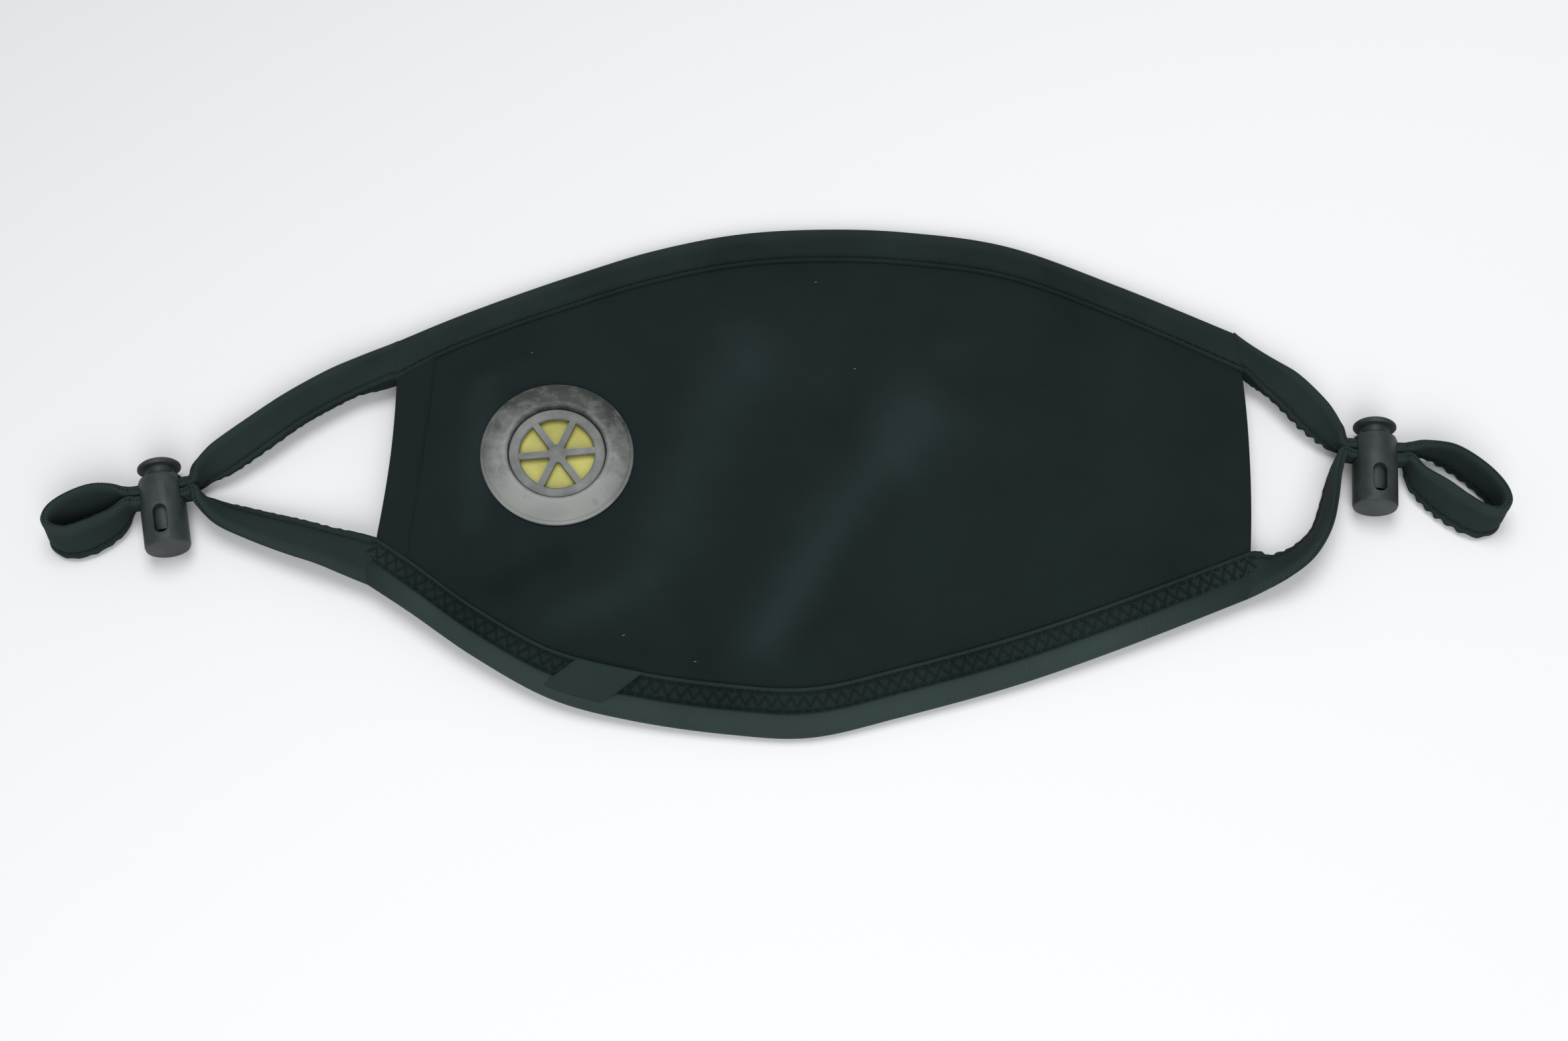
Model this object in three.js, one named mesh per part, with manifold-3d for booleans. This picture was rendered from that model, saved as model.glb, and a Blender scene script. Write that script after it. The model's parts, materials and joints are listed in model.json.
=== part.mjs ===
// Cloth face mask with an exhale valve and two adjustable ear loops, lying on a table face up.
//
// Frame: millimetres. X runs from one ear to the other, Y from the chin edge (-) to the nose
// edge (+), Z is up. The mask rests on Z = 0 on its bound edges and on the two cord locks, and
// its outer cloth faces up. The origin is the middle of its box at the resting height.
//
// The cloth body is one thin domed wall. Its shape is a table of cross sections from the left
// hem to the right fold, a table of folds, and a flat seat where the stiff valve holds it.
// The edge tape, the valve and the locks are worked out from that surface and from named sizes.

import * as THREE from 'three';
import { mergeVertices } from 'three/addons/utils/BufferGeometryUtils.js';
import Module from 'manifold-3d';

const wasm = await Module();
wasm.setup();

// ------------------------------------------------------------------ driving sizes
const GAP = 0.3;                    // clearance between neighbouring pieces
const CLOTH = 1.6;                  // two layers of cotton jersey
const TAPE = 0.8;                   // one layer of the binding tape
const TOP_BINDING_WIDTH = 10.6;
const BOTTOM_BINDING_WIDTH = 9.4;
const BEAD = 1.8;                   // how far the tape's round fold stands past the cloth's edge
const PLATEAU = 2.6;                // how flat the top of the dome is: 2 is a parabola
const CENTRE = new THREE.Vector3(1.55, -12.48, 0);   // middle of the box, brought to the origin

// Cross sections of the cloth, hem to fold: its low (chin) and high (nose) edge points,
// how far the middle rises over them, and how far the section bows along X at mid height.
const SECTIONS = [
  { xLow: -98.6, yLow: -17.2, zLow: 5.6, xHigh: -96.6, yHigh: 45.4, zHigh: 3.5, rise: 3.0, bow: 2.4 },
  { xLow: -88.0, yLow: -24.4, zLow: 5.6, xHigh: -83.5, yHigh: 52.2, zHigh: 2.9, rise: 5.6, bow: 1.0 },
  { xLow: -72.2, yLow: -35.5, zLow: 5.0, xHigh: -69.0, yHigh: 58.9, zHigh: 2.4, rise: 7.2, bow: 0 },
  { xLow: -54.0, yLow: -45.4, zLow: 3.8, xHigh: -53.2, yHigh: 65.4, zHigh: 2.1, rise: 8.4, bow: 0 },
  { xLow: -34.4, yLow: -50.4, zLow: 2.7, xHigh: -33.5, yHigh: 72.6, zHigh: 1.9, rise: 9.0, bow: 0 },
  { xLow: -12.0, yLow: -53.4, zLow: 1.9, xHigh: -12.0, yHigh: 77.6, zHigh: 1.8, rise: 9.6, bow: 0 },
  { xLow: 6.5, yLow: -54.0, zLow: 1.7, xHigh: 10.0, yHigh: 79.2, zHigh: 1.7, rise: 9.8, bow: 0 },
  { xLow: 27.0, yLow: -49.2, zLow: 2.0, xHigh: 32.0, yHigh: 78.2, zHigh: 1.8, rise: 9.4, bow: 0 },
  { xLow: 54.5, yLow: -41.4, zLow: 2.5, xHigh: 57.0, yHigh: 73.8, zHigh: 2.1, rise: 8.4, bow: 0 },
  { xLow: 81.0, yLow: -32.0, zLow: 3.4, xHigh: 84.0, yHigh: 62.0, zHigh: 2.8, rise: 6.8, bow: 0.6 },
  { xLow: 110.2, yLow: -20.4, zLow: 4.2, xHigh: 113.0, yHigh: 47.4, zHigh: 3.7, rise: 3.6, bow: 1.2 },
];

// Soft folds of the cloth: a ridge (+) or valley (-) from one point to another.
const FOLDS = [
  { x0: -8, y0: -42, x1: 36, y1: 26, width: 8, height: 1.6 },      // long ridge, chin to middle
  { x0: 0, y0: -40, x1: 26, y1: 6, width: 6, height: -1.1 },       // valley along its right side
  { x0: -32, y0: -14, x1: -6, y1: 46, width: 9, height: 1.0 },     // ridge right of the valve
  { x0: -56, y0: -32, x1: -28, y1: -18, width: 5, height: 0.9 },   // short chin pucker
  { x0: -52, y0: -37, x1: -30, y1: -39, width: 4, height: -0.8 },  // valley beside it
  { x0: -74, y0: -8, x1: -72, y1: 34, width: 4, height: 0.7 },     // pull left of the valve
];

// Exhale valve, set through a round hole in the cloth on the wearer's right cheek.
const VALVE = {
  x: -54.5, y: 11.8, z: 11.4,       // middle of the cloth in the hole
  leanX: 2.5, leanY: -4.0,          // degrees about X and Y: far side up, left side up
  radius: 18.3,                     // outside of the flange
  hole: 12.7,                       // hole in the cloth
  collar: 12.4,                     // outside of the collar through the hole
  inner: 11.8,                      // inside of the collar
  opening: 9.0,                     // open radius of the grille
  spoke: 1.6, spokes: 6, hub: 2.1,
  firstSpoke: 7,                    // degrees from +X
  flap: 10.8, flapThick: 0.6,
  back: 17.2,                       // outside of the clamp ring inside the mask
  seatFade: 13,                     // how far past the flange the cloth stays pulled flat
};

// Spring cord locks: a barrel lying on the table and a button that slides in its open end.
const LOCK = {
  radius: 5.4, length: 19, floor: 1.6, bore: 3.85,
  stem: 3.5, stemStart: 3.9, springBore: 2.2, springTop: 9,
  cap: 5.2, capGap: 2.2, capThick: 1.9,
  travel: 1.9,                      // how far the button goes in
  holeDepth: 1.3, holeLength: 5.8, holeHeight: 5.2,   // cross hole, depth from the open end
  slotStart: 2.3, slotLength: 7.5, slotWidth: 3.4,    // window on top, from the closed end
  sides: 24,
};
const LOCKS = {
  left: { x: -147.0, y: -9.9, lean: 12.5 },
  right: { x: 142.4, y: 0.8, lean: -5.8 },
};

const WINDOW_DEPTH = 2;             // how deep the window's cutter goes: through the wall only
const LOCK_AXIS = LOCK.radius * Math.cos(Math.PI / LOCK.sides);   // each barrel lies on a flat

// Ear loops: middle line, width and thickness of the folded tape, and its tilt in degrees.
// Tilt 0 lies flat; -90 stands on its stitched edge with the round fold up. Skew turns the cut
// end to meet the binding. Each loop runs from the cloth through the lock, round the small
// loop, back through the lock beside itself, and home to the cloth's other corner.
const LEFT_LOOP = {
  out: [
    { x: -97.3, y: 40.9, z: 5.6, width: 11.2, thick: 2.4, tilt: 6, skew: -29 },
    { x: -104.5, y: 37.4, z: 5.2, width: 10, thick: 2.1, tilt: 0 },
    { x: -112.0, y: 33.4, z: 5.0, width: 10, thick: 2.0, tilt: 0 },
    { x: -121.0, y: 27.4, z: 5.0, width: 10, thick: 2.0, tilt: 0 },
    { x: -130.0, y: 20.0, z: 5.0, width: 10, thick: 2.0, tilt: -4 },
    { x: -136.4, y: 14.6, z: 5.0, width: 9.2, thick: 2.1, tilt: -16 },
    { x: -140.6, y: 10.8, z: 5.2, width: 7.0, thick: 2.3, tilt: -50 },
  ],
  small: [
    { x: -161.2, y: 3.7, z: 5.3, width: 8.6, thick: 2.2, tilt: -70 },
    { x: -166.0, y: 2.9, z: 5.3, width: 10, thick: 2.0, tilt: -63 },
    { x: -170.9, y: 1.0, z: 5.3, width: 10, thick: 2.0, tilt: -66 },
    { x: -174.8, y: -1.4, z: 5.3, width: 10, thick: 2.0, tilt: -78 },
    { x: -176.3, y: -4.2, z: 5.3, width: 10, thick: 2.0, tilt: -92 },
    { x: -174.8, y: -6.8, z: 5.3, width: 10, thick: 2.0, tilt: -105 },
    { x: -171.0, y: -8.0, z: 5.3, width: 10, thick: 2.0, tilt: -114 },
    { x: -165.8, y: -6.4, z: 5.3, width: 10, thick: 2.0, tilt: -117 },
    { x: -160.6, y: -2.8, z: 5.3, width: 8.8, thick: 2.2, tilt: -110 },
  ],
  home: [
    { x: -139.6, y: 2.6, z: 5.2, width: 6.4, thick: 2.3, tilt: -58 },
    { x: -134.5, y: -0.6, z: 5.0, width: 7.8, thick: 2.2, tilt: -30 },
    { x: -127.0, y: -3.4, z: 5.0, width: 8.8, thick: 2.1, tilt: -18 },
    { x: -118.0, y: -6.4, z: 5.4, width: 9.8, thick: 2.0, tilt: -10 },
    { x: -108.0, y: -9.9, z: 6.4, width: 10, thick: 2.1, tilt: -4 },
    { x: -99.3, y: -13.6, z: 7.6, width: 10.6, thick: 2.4, tilt: 0, skew: 24 },
  ],
};
const RIGHT_LOOP = {
  out: [
    { x: 111.7, y: -17.0, z: 6.4, width: 9.2, thick: 2.4, tilt: -6, skew: -20 },
    { x: 117.4, y: -14.6, z: 5.8, width: 8.8, thick: 2.3, tilt: -30 },
    { x: 123.6, y: -10.8, z: 5.5, width: 9.2, thick: 2.2, tilt: -52 },
    { x: 128.6, y: -4.8, z: 5.3, width: 9.2, thick: 2.1, tilt: -70 },
    { x: 131.4, y: 2.6, z: 5.2, width: 9.0, thick: 2.1, tilt: -78 },
    { x: 133.4, y: 9.6, z: 5.3, width: 7.0, thick: 2.3, tilt: -84 },
  ],
  small: [
    { x: 153.6, y: 9.0, z: 5.3, width: 8.0, thick: 2.2, tilt: -112 },
    { x: 158.0, y: 4.4, z: 5.3, width: 10, thick: 2.0, tilt: -120 },
    { x: 162.6, y: 0.4, z: 5.3, width: 10, thick: 2.0, tilt: -122 },
    { x: 167.2, y: -2.3, z: 5.3, width: 10, thick: 2.0, tilt: -116 },
    { x: 171.4, y: -2.0, z: 5.3, width: 10, thick: 2.0, tilt: -100 },
    { x: 173.2, y: 1.2, z: 5.3, width: 10, thick: 2.0, tilt: -88 },
    { x: 171.8, y: 5.4, z: 5.3, width: 10, thick: 2.0, tilt: -82 },
    { x: 167.6, y: 10.4, z: 5.3, width: 10, thick: 2.0, tilt: -80 },
    { x: 161.8, y: 14.8, z: 5.3, width: 9.6, thick: 2.0, tilt: -82 },
    { x: 156.0, y: 16.6, z: 5.4, width: 7.0, thick: 2.2, tilt: -88 },
  ],
  home: [
    { x: 133.6, y: 21.0, z: 5.3, width: 7.6, thick: 2.2, tilt: -46 },
    { x: 129.8, y: 26.4, z: 5.1, width: 9.6, thick: 2.0, tilt: -16 },
    { x: 124.8, y: 32.8, z: 5.0, width: 10, thick: 2.0, tilt: -6 },
    { x: 119.0, y: 38.4, z: 5.2, width: 9.4, thick: 2.1, tilt: -6 },
    { x: 114.3, y: 43.1, z: 5.8, width: 10.2, thick: 2.4, tilt: 4, skew: 34 },
  ],
};
// The two runs of tape side by side in a lock's cross hole.
const RUN = { width: 4.6, thick: 2.4, gap: 0.4, reach: 8, inside: 5.2 };

// The tape's free end on the chin binding, as shares of the way from hem to fold.
const OVERLAP = { start: 0.283, length: 0.077, slant: 0.0052, steps: 4 };

const STATIONS = 34;                // steps of the cloth from hem to fold
const ROWS = 18;                    // steps of the cloth from chin to nose edge
const ROUTE_STEPS = 2;              // steps of an ear loop between two rows of its table
const VALVE_SIDES = 32;

// ------------------------------------------------------------------ shared helpers
const deg = THREE.MathUtils.degToRad;
const smooth = (edge0, edge1, x) => THREE.MathUtils.smoothstep(x, edge0, edge1);

// One column of a table at t from 0 to 1, on a smooth curve through its rows.
function column(rows, name, t) {
  const last = rows.length - 1;
  const i = Math.min(Math.floor(t * last), last - 1);
  const f = t * last - i;
  const at = (k) => rows[THREE.MathUtils.clamp(k, 0, last)][name] ?? 0;
  const [a, b, c, d] = [at(i - 1), at(i), at(i + 1), at(i + 2)];
  return b + 0.5 * f * (c - a + f * (2 * a - 5 * b + 4 * c - d + f * (3 * (b - c) + d - a)));
}

// A closed body from rings of equal length: each ring joins the next, and both ends are closed
// by the same list of triangles, which go round the way the ring does.
function ringBody(rings, cap) {
  const n = rings[0].length;
  const index = [];
  for (let i = 0; i < rings.length - 1; i += 1) {
    for (let j = 0; j < n; j += 1) {
      const a = i * n + j;
      const b = i * n + ((j + 1) % n);
      index.push(a, b, b + n, a, b + n, a + n);
    }
  }
  const end = (rings.length - 1) * n;
  for (const [a, b, c] of cap) {
    index.push(a, c, b);
    index.push(end + a, end + b, end + c);
  }
  const geometry = new THREE.BufferGeometry();
  const numbers = rings.flat().flatMap((p) => [p.x, p.y, p.z]);
  geometry.setAttribute('position', new THREE.Float32BufferAttribute(numbers, 3));
  geometry.setIndex(index);
  return faceOut(geometry);
}

// A cap for a flat ring whose first half runs one way and whose second half runs back beside it.
function stripCap(n) {
  const cap = [];
  for (let j = 0; j < n / 2 - 1; j += 1) {
    cap.push([j, j + 1, n - 2 - j], [j, n - 2 - j, n - 1 - j]);
  }
  return cap;
}

// A cap for any other ring, from its flat outline.
function shapeCap(outline) {
  const flat = outline.map(([x, y]) => new THREE.Vector2(x, y));
  const turn = Math.sign(THREE.ShapeUtils.area(flat));
  return THREE.ShapeUtils.triangulateShape(flat, []).map(([a, b, c]) => {
    const same = Math.sign(THREE.ShapeUtils.area([flat[a], flat[b], flat[c]])) === turn;
    return same ? [a, b, c] : [a, c, b];
  });
}

function volume(geometry) {
  const p = geometry.attributes.position;
  const corner = [new THREE.Vector3(), new THREE.Vector3(), new THREE.Vector3()];
  let sum = 0;
  for (let i = 0; i < geometry.index.count; i += 3) {
    corner.forEach((v, k) => v.fromBufferAttribute(p, geometry.index.getX(i + k)));
    sum += corner[0].dot(corner[1].clone().cross(corner[2])) / 6;
  }
  return sum;
}

// Turns a closed body's triangles round if they face inwards.
function faceOut(geometry) {
  if (volume(geometry) < 0) {
    const list = geometry.index.array;
    for (let i = 0; i < list.length; i += 3) {
      [list[i + 1], list[i + 2]] = [list[i + 2], list[i + 1]];
    }
  }
  return geometry;
}

function welded(geometry) {
  const bare = geometry.clone();
  bare.deleteAttribute('normal');
  bare.deleteAttribute('uv');
  return faceOut(mergeVertices(bare, 1e-4));
}

function solid(geometry) {
  const bare = welded(geometry);
  return new wasm.Manifold(new wasm.Mesh({
    numProp: 3,
    vertProperties: new Float32Array(bare.attributes.position.array),
    triVerts: new Uint32Array(bare.index.array),
  }));
}

function fromSolid(body) {
  const mesh = body.getMesh();
  const geometry = new THREE.BufferGeometry();
  geometry.setAttribute('position', new THREE.BufferAttribute(mesh.vertProperties, 3));
  geometry.setIndex(new THREE.BufferAttribute(mesh.triVerts, 1));
  return geometry;
}

// A turned body about +Z from a closed outline of [radius, height] pairs.
function turned(outline, sides) {
  const points = outline.map(([r, h]) => new THREE.Vector2(r, h));
  const onAxis = outline[0][0] === 0 && outline.at(-1)[0] === 0;
  if (!onAxis) points.push(points[0].clone());
  return welded(new THREE.LatheGeometry(points, sides).rotateX(Math.PI / 2));
}

// ------------------------------------------------------------------ the cloth surface
const valveFrame = new THREE.Matrix4()
  .makeRotationFromEuler(new THREE.Euler(deg(VALVE.leanX), deg(-VALVE.leanY), 0))
  .setPosition(VALVE.x, VALVE.y, VALVE.z);
const valveUp = new THREE.Vector3(0, 0, 1).transformDirection(valveFrame);

// Height of the flat seat that the valve holds, at a point of the table.
function seatHeight(x, y) {
  return VALVE.z - (valveUp.x * (x - VALVE.x) + valveUp.y * (y - VALVE.y)) / valveUp.z;
}

function foldHeight(x, y) {
  let sum = 0;
  for (const fold of FOLDS) {
    const dx = fold.x1 - fold.x0;
    const dy = fold.y1 - fold.y0;
    const length = Math.hypot(dx, dy);
    const along = ((x - fold.x0) * dx + (y - fold.y0) * dy) / length;
    const across = ((x - fold.x0) * dy - (y - fold.y0) * dx) / length;
    const ends = smooth(-fold.width, fold.width, along)
      * smooth(-fold.width, fold.width, length - along);
    sum += fold.height * ends * Math.exp(-((across / fold.width) ** 2));
  }
  return sum;
}

// Middle of the cloth: u from hem to fold, v from chin edge to nose edge.
function clothPoint(u, v) {
  const at = (name) => column(SECTIONS, name, u);
  const mix = (name) => THREE.MathUtils.lerp(at(`${name}Low`), at(`${name}High`), v);
  const arch = 1 - Math.abs(2 * v - 1) ** PLATEAU;
  const x = mix('x') + at('bow') * 4 * v * (1 - v);
  const y = mix('y');
  const edgeFade = smooth(0.06, 0.18, Math.min(v, 1 - v)) * smooth(0, 0.06, Math.min(u, 1 - u));
  const z = mix('z') + at('rise') * arch + foldHeight(x, y) * edgeFade;
  const away = Math.hypot(x - VALVE.x, y - VALVE.y);
  const seat = 1 - smooth(VALVE.radius + 1, VALVE.radius + VALVE.seatFade, away);
  return new THREE.Vector3(x, y, THREE.MathUtils.lerp(z, seatHeight(x, y), seat));
}

function clothNormal(u, v) {
  const step = 0.004;
  const clampV = THREE.MathUtils.clamp(v, step, 1 - step);
  const clampU = THREE.MathUtils.clamp(u, step, 1 - step);
  const alongU = clothPoint(clampU + step, v).sub(clothPoint(clampU - step, v));
  const alongV = clothPoint(u, clampV + step).sub(clothPoint(u, clampV - step));
  return alongU.cross(alongV).normalize();
}

function panel() {
  const rings = [];
  const upperRow = [];
  const lowerRow = [];
  for (let j = 0; j <= ROWS; j += 1) {
    upperRow.push([j, 1]);
    lowerRow.unshift([j, -1]);
  }
  const outline = [...upperRow, ...lowerRow];
  for (let i = 0; i <= STATIONS; i += 1) {
    const u = i / STATIONS;
    rings.push(outline.map(([j, side]) => {
      const v = j / ROWS;
      return clothPoint(u, v).addScaledVector(clothNormal(u, v), side * CLOTH / 2);
    }));
  }
  const cutter = new THREE.CylinderGeometry(VALVE.hole, VALVE.hole, 12, VALVE_SIDES)
    .rotateX(Math.PI / 2).applyMatrix4(valveFrame);
  return fromSolid(solid(ringBody(rings, stripCap(outline.length))).subtract(solid(cutter)));
}

// ------------------------------------------------------------------ edge tape on the cloth
// A point beside the cloth's edge: inset along the cloth from its edge, lift off its middle.
function edgePoint(top, u, inset, lift) {
  const share = Math.max(inset, 0) / clothPoint(u, 0).distanceTo(clothPoint(u, 1));
  const v = top ? 1 - share : share;
  const point = clothPoint(u, v).addScaledVector(clothNormal(u, v), lift);
  if (inset < 0) {
    const inner = clothPoint(u, top ? 0.99 : 0.01);
    const outwards = clothPoint(u, top ? 1 : 0).sub(inner).normalize();
    point.addScaledVector(outwards, -inset);
  }
  return point;
}

// The tape is folded round the edge: a U whose two legs lie on the cloth.
function binding(top, width) {
  const near = CLOTH / 2 + GAP;
  const far = near + TAPE;
  const outline = [
    [width, far], [width / 2, far], [0.8, far], [-0.9, far * 0.78],
    [-BEAD, far * 0.3], [-BEAD, -far * 0.3], [-0.9, -far * 0.78],
    [0.8, -far], [width / 2, -far], [width, -far],
    [width, -near], [width / 2, -near], [-GAP, -near],
    [-GAP, near], [width / 2, near], [width, near],
  ];
  const rings = [];
  for (let i = 0; i <= STATIONS; i += 1) {
    rings.push(outline.map(([inset, lift]) => edgePoint(top, i / STATIONS, inset, lift)));
  }
  return ringBody(rings, shapeCap(outline));
}

// The free end of the tape, laid slanting over the chin binding where the two ends meet.
function tapeOverlap() {
  const foot = CLOTH / 2 + GAP + TAPE + GAP;
  const insets = [0.9, BOTTOM_BINDING_WIDTH / 2, BOTTOM_BINDING_WIDTH - 0.2];
  const outline = [
    ...insets.map((inset) => [inset, foot]),
    ...insets.toReversed().map((inset) => [inset, foot + TAPE]),
  ];
  const rings = [];
  for (let i = 0; i <= OVERLAP.steps; i += 1) {
    rings.push(outline.map(([inset, lift]) => {
      const u = OVERLAP.start + (OVERLAP.length * i) / OVERLAP.steps + OVERLAP.slant * inset;
      return edgePoint(false, u, inset, lift);
    }));
  }
  return ringBody(rings, stripCap(outline.length));
}

// ------------------------------------------------------------------ ear loops
// One straight run through a lock's cross hole, heading outwards (+1) or inwards (-1) in X.
function crossing({ x, y, lean }, depth, heading) {
  const along = LOCK.length - depth;
  const [c, s] = [Math.cos(deg(lean)), Math.sin(deg(lean))];
  return [-RUN.reach, -RUN.inside, RUN.inside, RUN.reach].map((off) => ({
    x: x - s * along + c * off * heading,
    y: y + c * along + s * off * heading,
    z: LOCK_AXIS, width: RUN.width, thick: RUN.thick, tilt: -90,
  }));
}

function earLoop({ out, small, home }, lock, heading) {
  const first = LOCK.holeDepth + GAP + RUN.thick / 2;
  const second = first + RUN.thick + RUN.gap;
  const [going, coming] = heading < 0 ? [first, second] : [second, first];
  const rows = [
    ...out, ...crossing(lock, going, heading),
    ...small, ...crossing(lock, coming, -heading), ...home,
  ];
  const points = rows.map((r) => new THREE.Vector3(r.x, r.y, r.z));
  const path = new THREE.CatmullRomCurve3(points, false, 'catmullrom', 0.5);
  const steps = (rows.length - 1) * ROUTE_STEPS;
  const outline = [
    [-0.5, -0.3], [-0.44, -0.5], [0.44, -0.5], [0.5, -0.3],
    [0.5, 0.3], [0.44, 0.5], [-0.44, 0.5], [-0.5, 0.3],
  ];
  const rings = [];
  for (let i = 0; i <= steps; i += 1) {
    const t = i / steps;
    const forward = path.getTangent(t);
    const side = new THREE.Vector3(0, 0, 1).cross(forward).normalize();
    const up = forward.clone().cross(side);
    const tilt = deg(column(rows, 'tilt', t));
    const across = side.clone().multiplyScalar(Math.cos(tilt)).addScaledVector(up, Math.sin(tilt));
    const face = forward.clone().cross(across);
    across.applyAxisAngle(face, deg(column(rows, 'skew', t)));
    rings.push(outline.map(([w, h]) => path.getPoint(t)
      .addScaledVector(across, w * column(rows, 'width', t))
      .addScaledVector(face, h * column(rows, 'thick', t))));
  }
  return ringBody(rings, stripCap(outline.length));
}

// ------------------------------------------------------------------ exhale valve
// All of it is turned about the valve's own axis, with height 0 at the middle of the cloth.
const SEAT = CLOTH / 2 + GAP;

function valveFlange() {
  return turned([
    [VALVE.inner, -2.4], [VALVE.collar, -2.4], [VALVE.collar, SEAT], [17.4, SEAT],
    [VALVE.radius, 1.6], [VALVE.radius - 0.1, 2.1], [17.2, 2.6], [12.7, 3.6],
    [12.1, 3.5], [VALVE.inner, 3.0],
  ], VALVE_SIDES);
}

function valveGrille() {
  const outer = VALVE.inner - GAP;
  let body = solid(turned([[VALVE.opening, 0.9], [outer, 0.9], [outer, 2.3],
    [outer - 0.4, 2.6], [VALVE.opening + 0.3, 2.6], [VALVE.opening, 2.3]], VALVE_SIDES));
  const reach = VALVE.opening + 0.6;
  for (let k = 0; k < VALVE.spokes; k += 1) {
    const spoke = new THREE.BoxGeometry(reach, VALVE.spoke, 1.5)
      .translate(reach / 2, 0, 1.75)
      .rotateZ(deg(VALVE.firstSpoke + (360 * k) / VALVE.spokes));
    body = body.add(solid(spoke));
  }
  const hub = new THREE.CylinderGeometry(VALVE.hub, VALVE.hub, 1.8, 12)
    .rotateX(Math.PI / 2).translate(0, 0, 1.6);
  return fromSolid(body.add(solid(hub)));
}

function valveFlap() {
  const top = 0.4;
  return turned([[0, top - VALVE.flapThick], [VALVE.flap, top - VALVE.flapThick],
    [VALVE.flap, top], [0, top]], VALVE_SIDES);
}

function valveBack() {
  const seat = -0.2 - GAP;                              // under the flap
  let body = solid(turned([
    [9.4, -3.6], [16.2, -3.6], [VALVE.back, -2.9], [VALVE.back, -SEAT],
    [VALVE.hole, -SEAT], [VALVE.hole, -2.7], [10.6, -2.7], [10.6, seat], [9.4, seat],
  ], VALVE_SIDES));
  for (let k = 0; k < 3; k += 1) {
    const arm = new THREE.BoxGeometry(10, 1.4, 1.2)
      .translate(5, 0, -3).rotateZ(deg(90 + 120 * k));
    body = body.add(solid(arm));
  }
  const post = new THREE.CylinderGeometry(1.6, 1.6, 3.1, 12)
    .rotateX(Math.PI / 2).translate(0, 0, -2.05);
  return fromSolid(body.add(solid(post)));
}

// ------------------------------------------------------------------ cord locks
// Both are drawn upright, closed end at 0 and button end up, then laid down on the table.
function lockBarrel() {
  const { radius, length, floor, bore } = LOCK;
  const barrel = solid(turned([
    [0, 0], [radius - 0.8, 0], [radius - 0.2, 0.3], [radius, 1], [radius, length - 1.4],
    [radius - 0.4, length - 0.5], [radius - 1.1, length], [bore, length], [bore, floor], [0, floor],
  ], LOCK.sides).rotateZ(Math.PI / LOCK.sides));
  const holeMiddle = length - LOCK.holeDepth - LOCK.holeLength / 2;
  const hole = new THREE.BoxGeometry(4 * radius, LOCK.holeHeight, LOCK.holeLength)
    .translate(0, 0, holeMiddle);
  const window = slotShape(LOCK.slotWidth, LOCK.slotLength).translate(0, -radius, LOCK.slotStart);
  return fromSolid(barrel.subtract(solid(hole)).subtract(solid(window)));
}

// A round-ended cutter that stands across the barrel's wall, its long way along the barrel.
function slotShape(width, length) {
  const r = width / 2;
  const shape = new THREE.Shape();
  shape.absarc(0, r, r, Math.PI, 0, false);
  shape.absarc(0, length - r, r, 0, Math.PI, false);
  const block = new THREE.ExtrudeGeometry(
    shape, { depth: 2 * WINDOW_DEPTH, bevelEnabled: false, curveSegments: 6 });
  return block.rotateX(Math.PI / 2).translate(0, WINDOW_DEPTH, 0);
}

function lockButton() {
  const { length, stem, stemStart, springBore, springTop, cap, capGap, capThick } = LOCK;
  const under = length + capGap;
  const body = solid(turned([
    [springBore, stemStart], [stem, stemStart], [stem, under], [cap - 0.4, under], [cap, under + 0.4],
    [cap - 0.1, under + 0.9], [cap - 1.2, under + 1.6], [0, under + capThick],
    [0, springTop], [springBore, springTop],
  ], LOCK.sides));
  const holeTop = length - LOCK.holeDepth + LOCK.travel;
  const holeLow = length - LOCK.holeDepth - LOCK.holeLength;
  const hole = new THREE.BoxGeometry(4 * stem, LOCK.holeHeight - 0.2, holeTop - holeLow)
    .translate(0, 0, (holeTop + holeLow) / 2);
  return fromSolid(body.subtract(solid(hole)));
}

function lockPlace({ x, y, lean }) {
  return new THREE.Matrix4()
    .makeRotationZ(deg(lean))
    .multiply(new THREE.Matrix4().makeRotationX(-Math.PI / 2))
    .setPosition(x, y, LOCK_AXIS);
}

// ------------------------------------------------------------------ assembly
const cotton = { color: 0x222b2c, roughness: 0.95, metalness: 0 };
const tape = { color: 0x2a3836, roughness: 0.9, metalness: 0 };
const rubber = { color: 0x74787a, roughness: 0.6, metalness: 0 };
const yellow = { color: 0x9d9a50, roughness: 0.5, metalness: 0 };
const plastic = { color: 0x444b4b, roughness: 0.55, metalness: 0 };

const mask = new THREE.Group();
mask.position.copy(CENTRE);

function add(name, geometry, finish, matrix) {
  const mesh = new THREE.Mesh(geometry, new THREE.MeshStandardMaterial(finish));
  mesh.name = name;
  if (matrix) mesh.applyMatrix4(matrix);
  mask.add(mesh);
}

add('panel', panel(), cotton);
add('binding_top', binding(true, TOP_BINDING_WIDTH), tape);
add('binding_bottom', binding(false, BOTTOM_BINDING_WIDTH), tape);
add('tape_overlap', tapeOverlap(), tape);
add('ear_loop_left', earLoop(LEFT_LOOP, LOCKS.left, -1), tape);
add('ear_loop_right', earLoop(RIGHT_LOOP, LOCKS.right, 1), tape);
add('valve_flange', valveFlange(), rubber, valveFrame);
add('valve_grille', valveGrille(), rubber, valveFrame);
add('valve_flap', valveFlap(), yellow, valveFrame);
add('valve_back', valveBack(), rubber, valveFrame);
for (const [side, place] of Object.entries(LOCKS)) {
  add(`lock_${side}_barrel`, lockBarrel(), plastic, lockPlace(place));
  add(`lock_${side}_button`, lockButton(), plastic, lockPlace(place));
}

export default mask;
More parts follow.
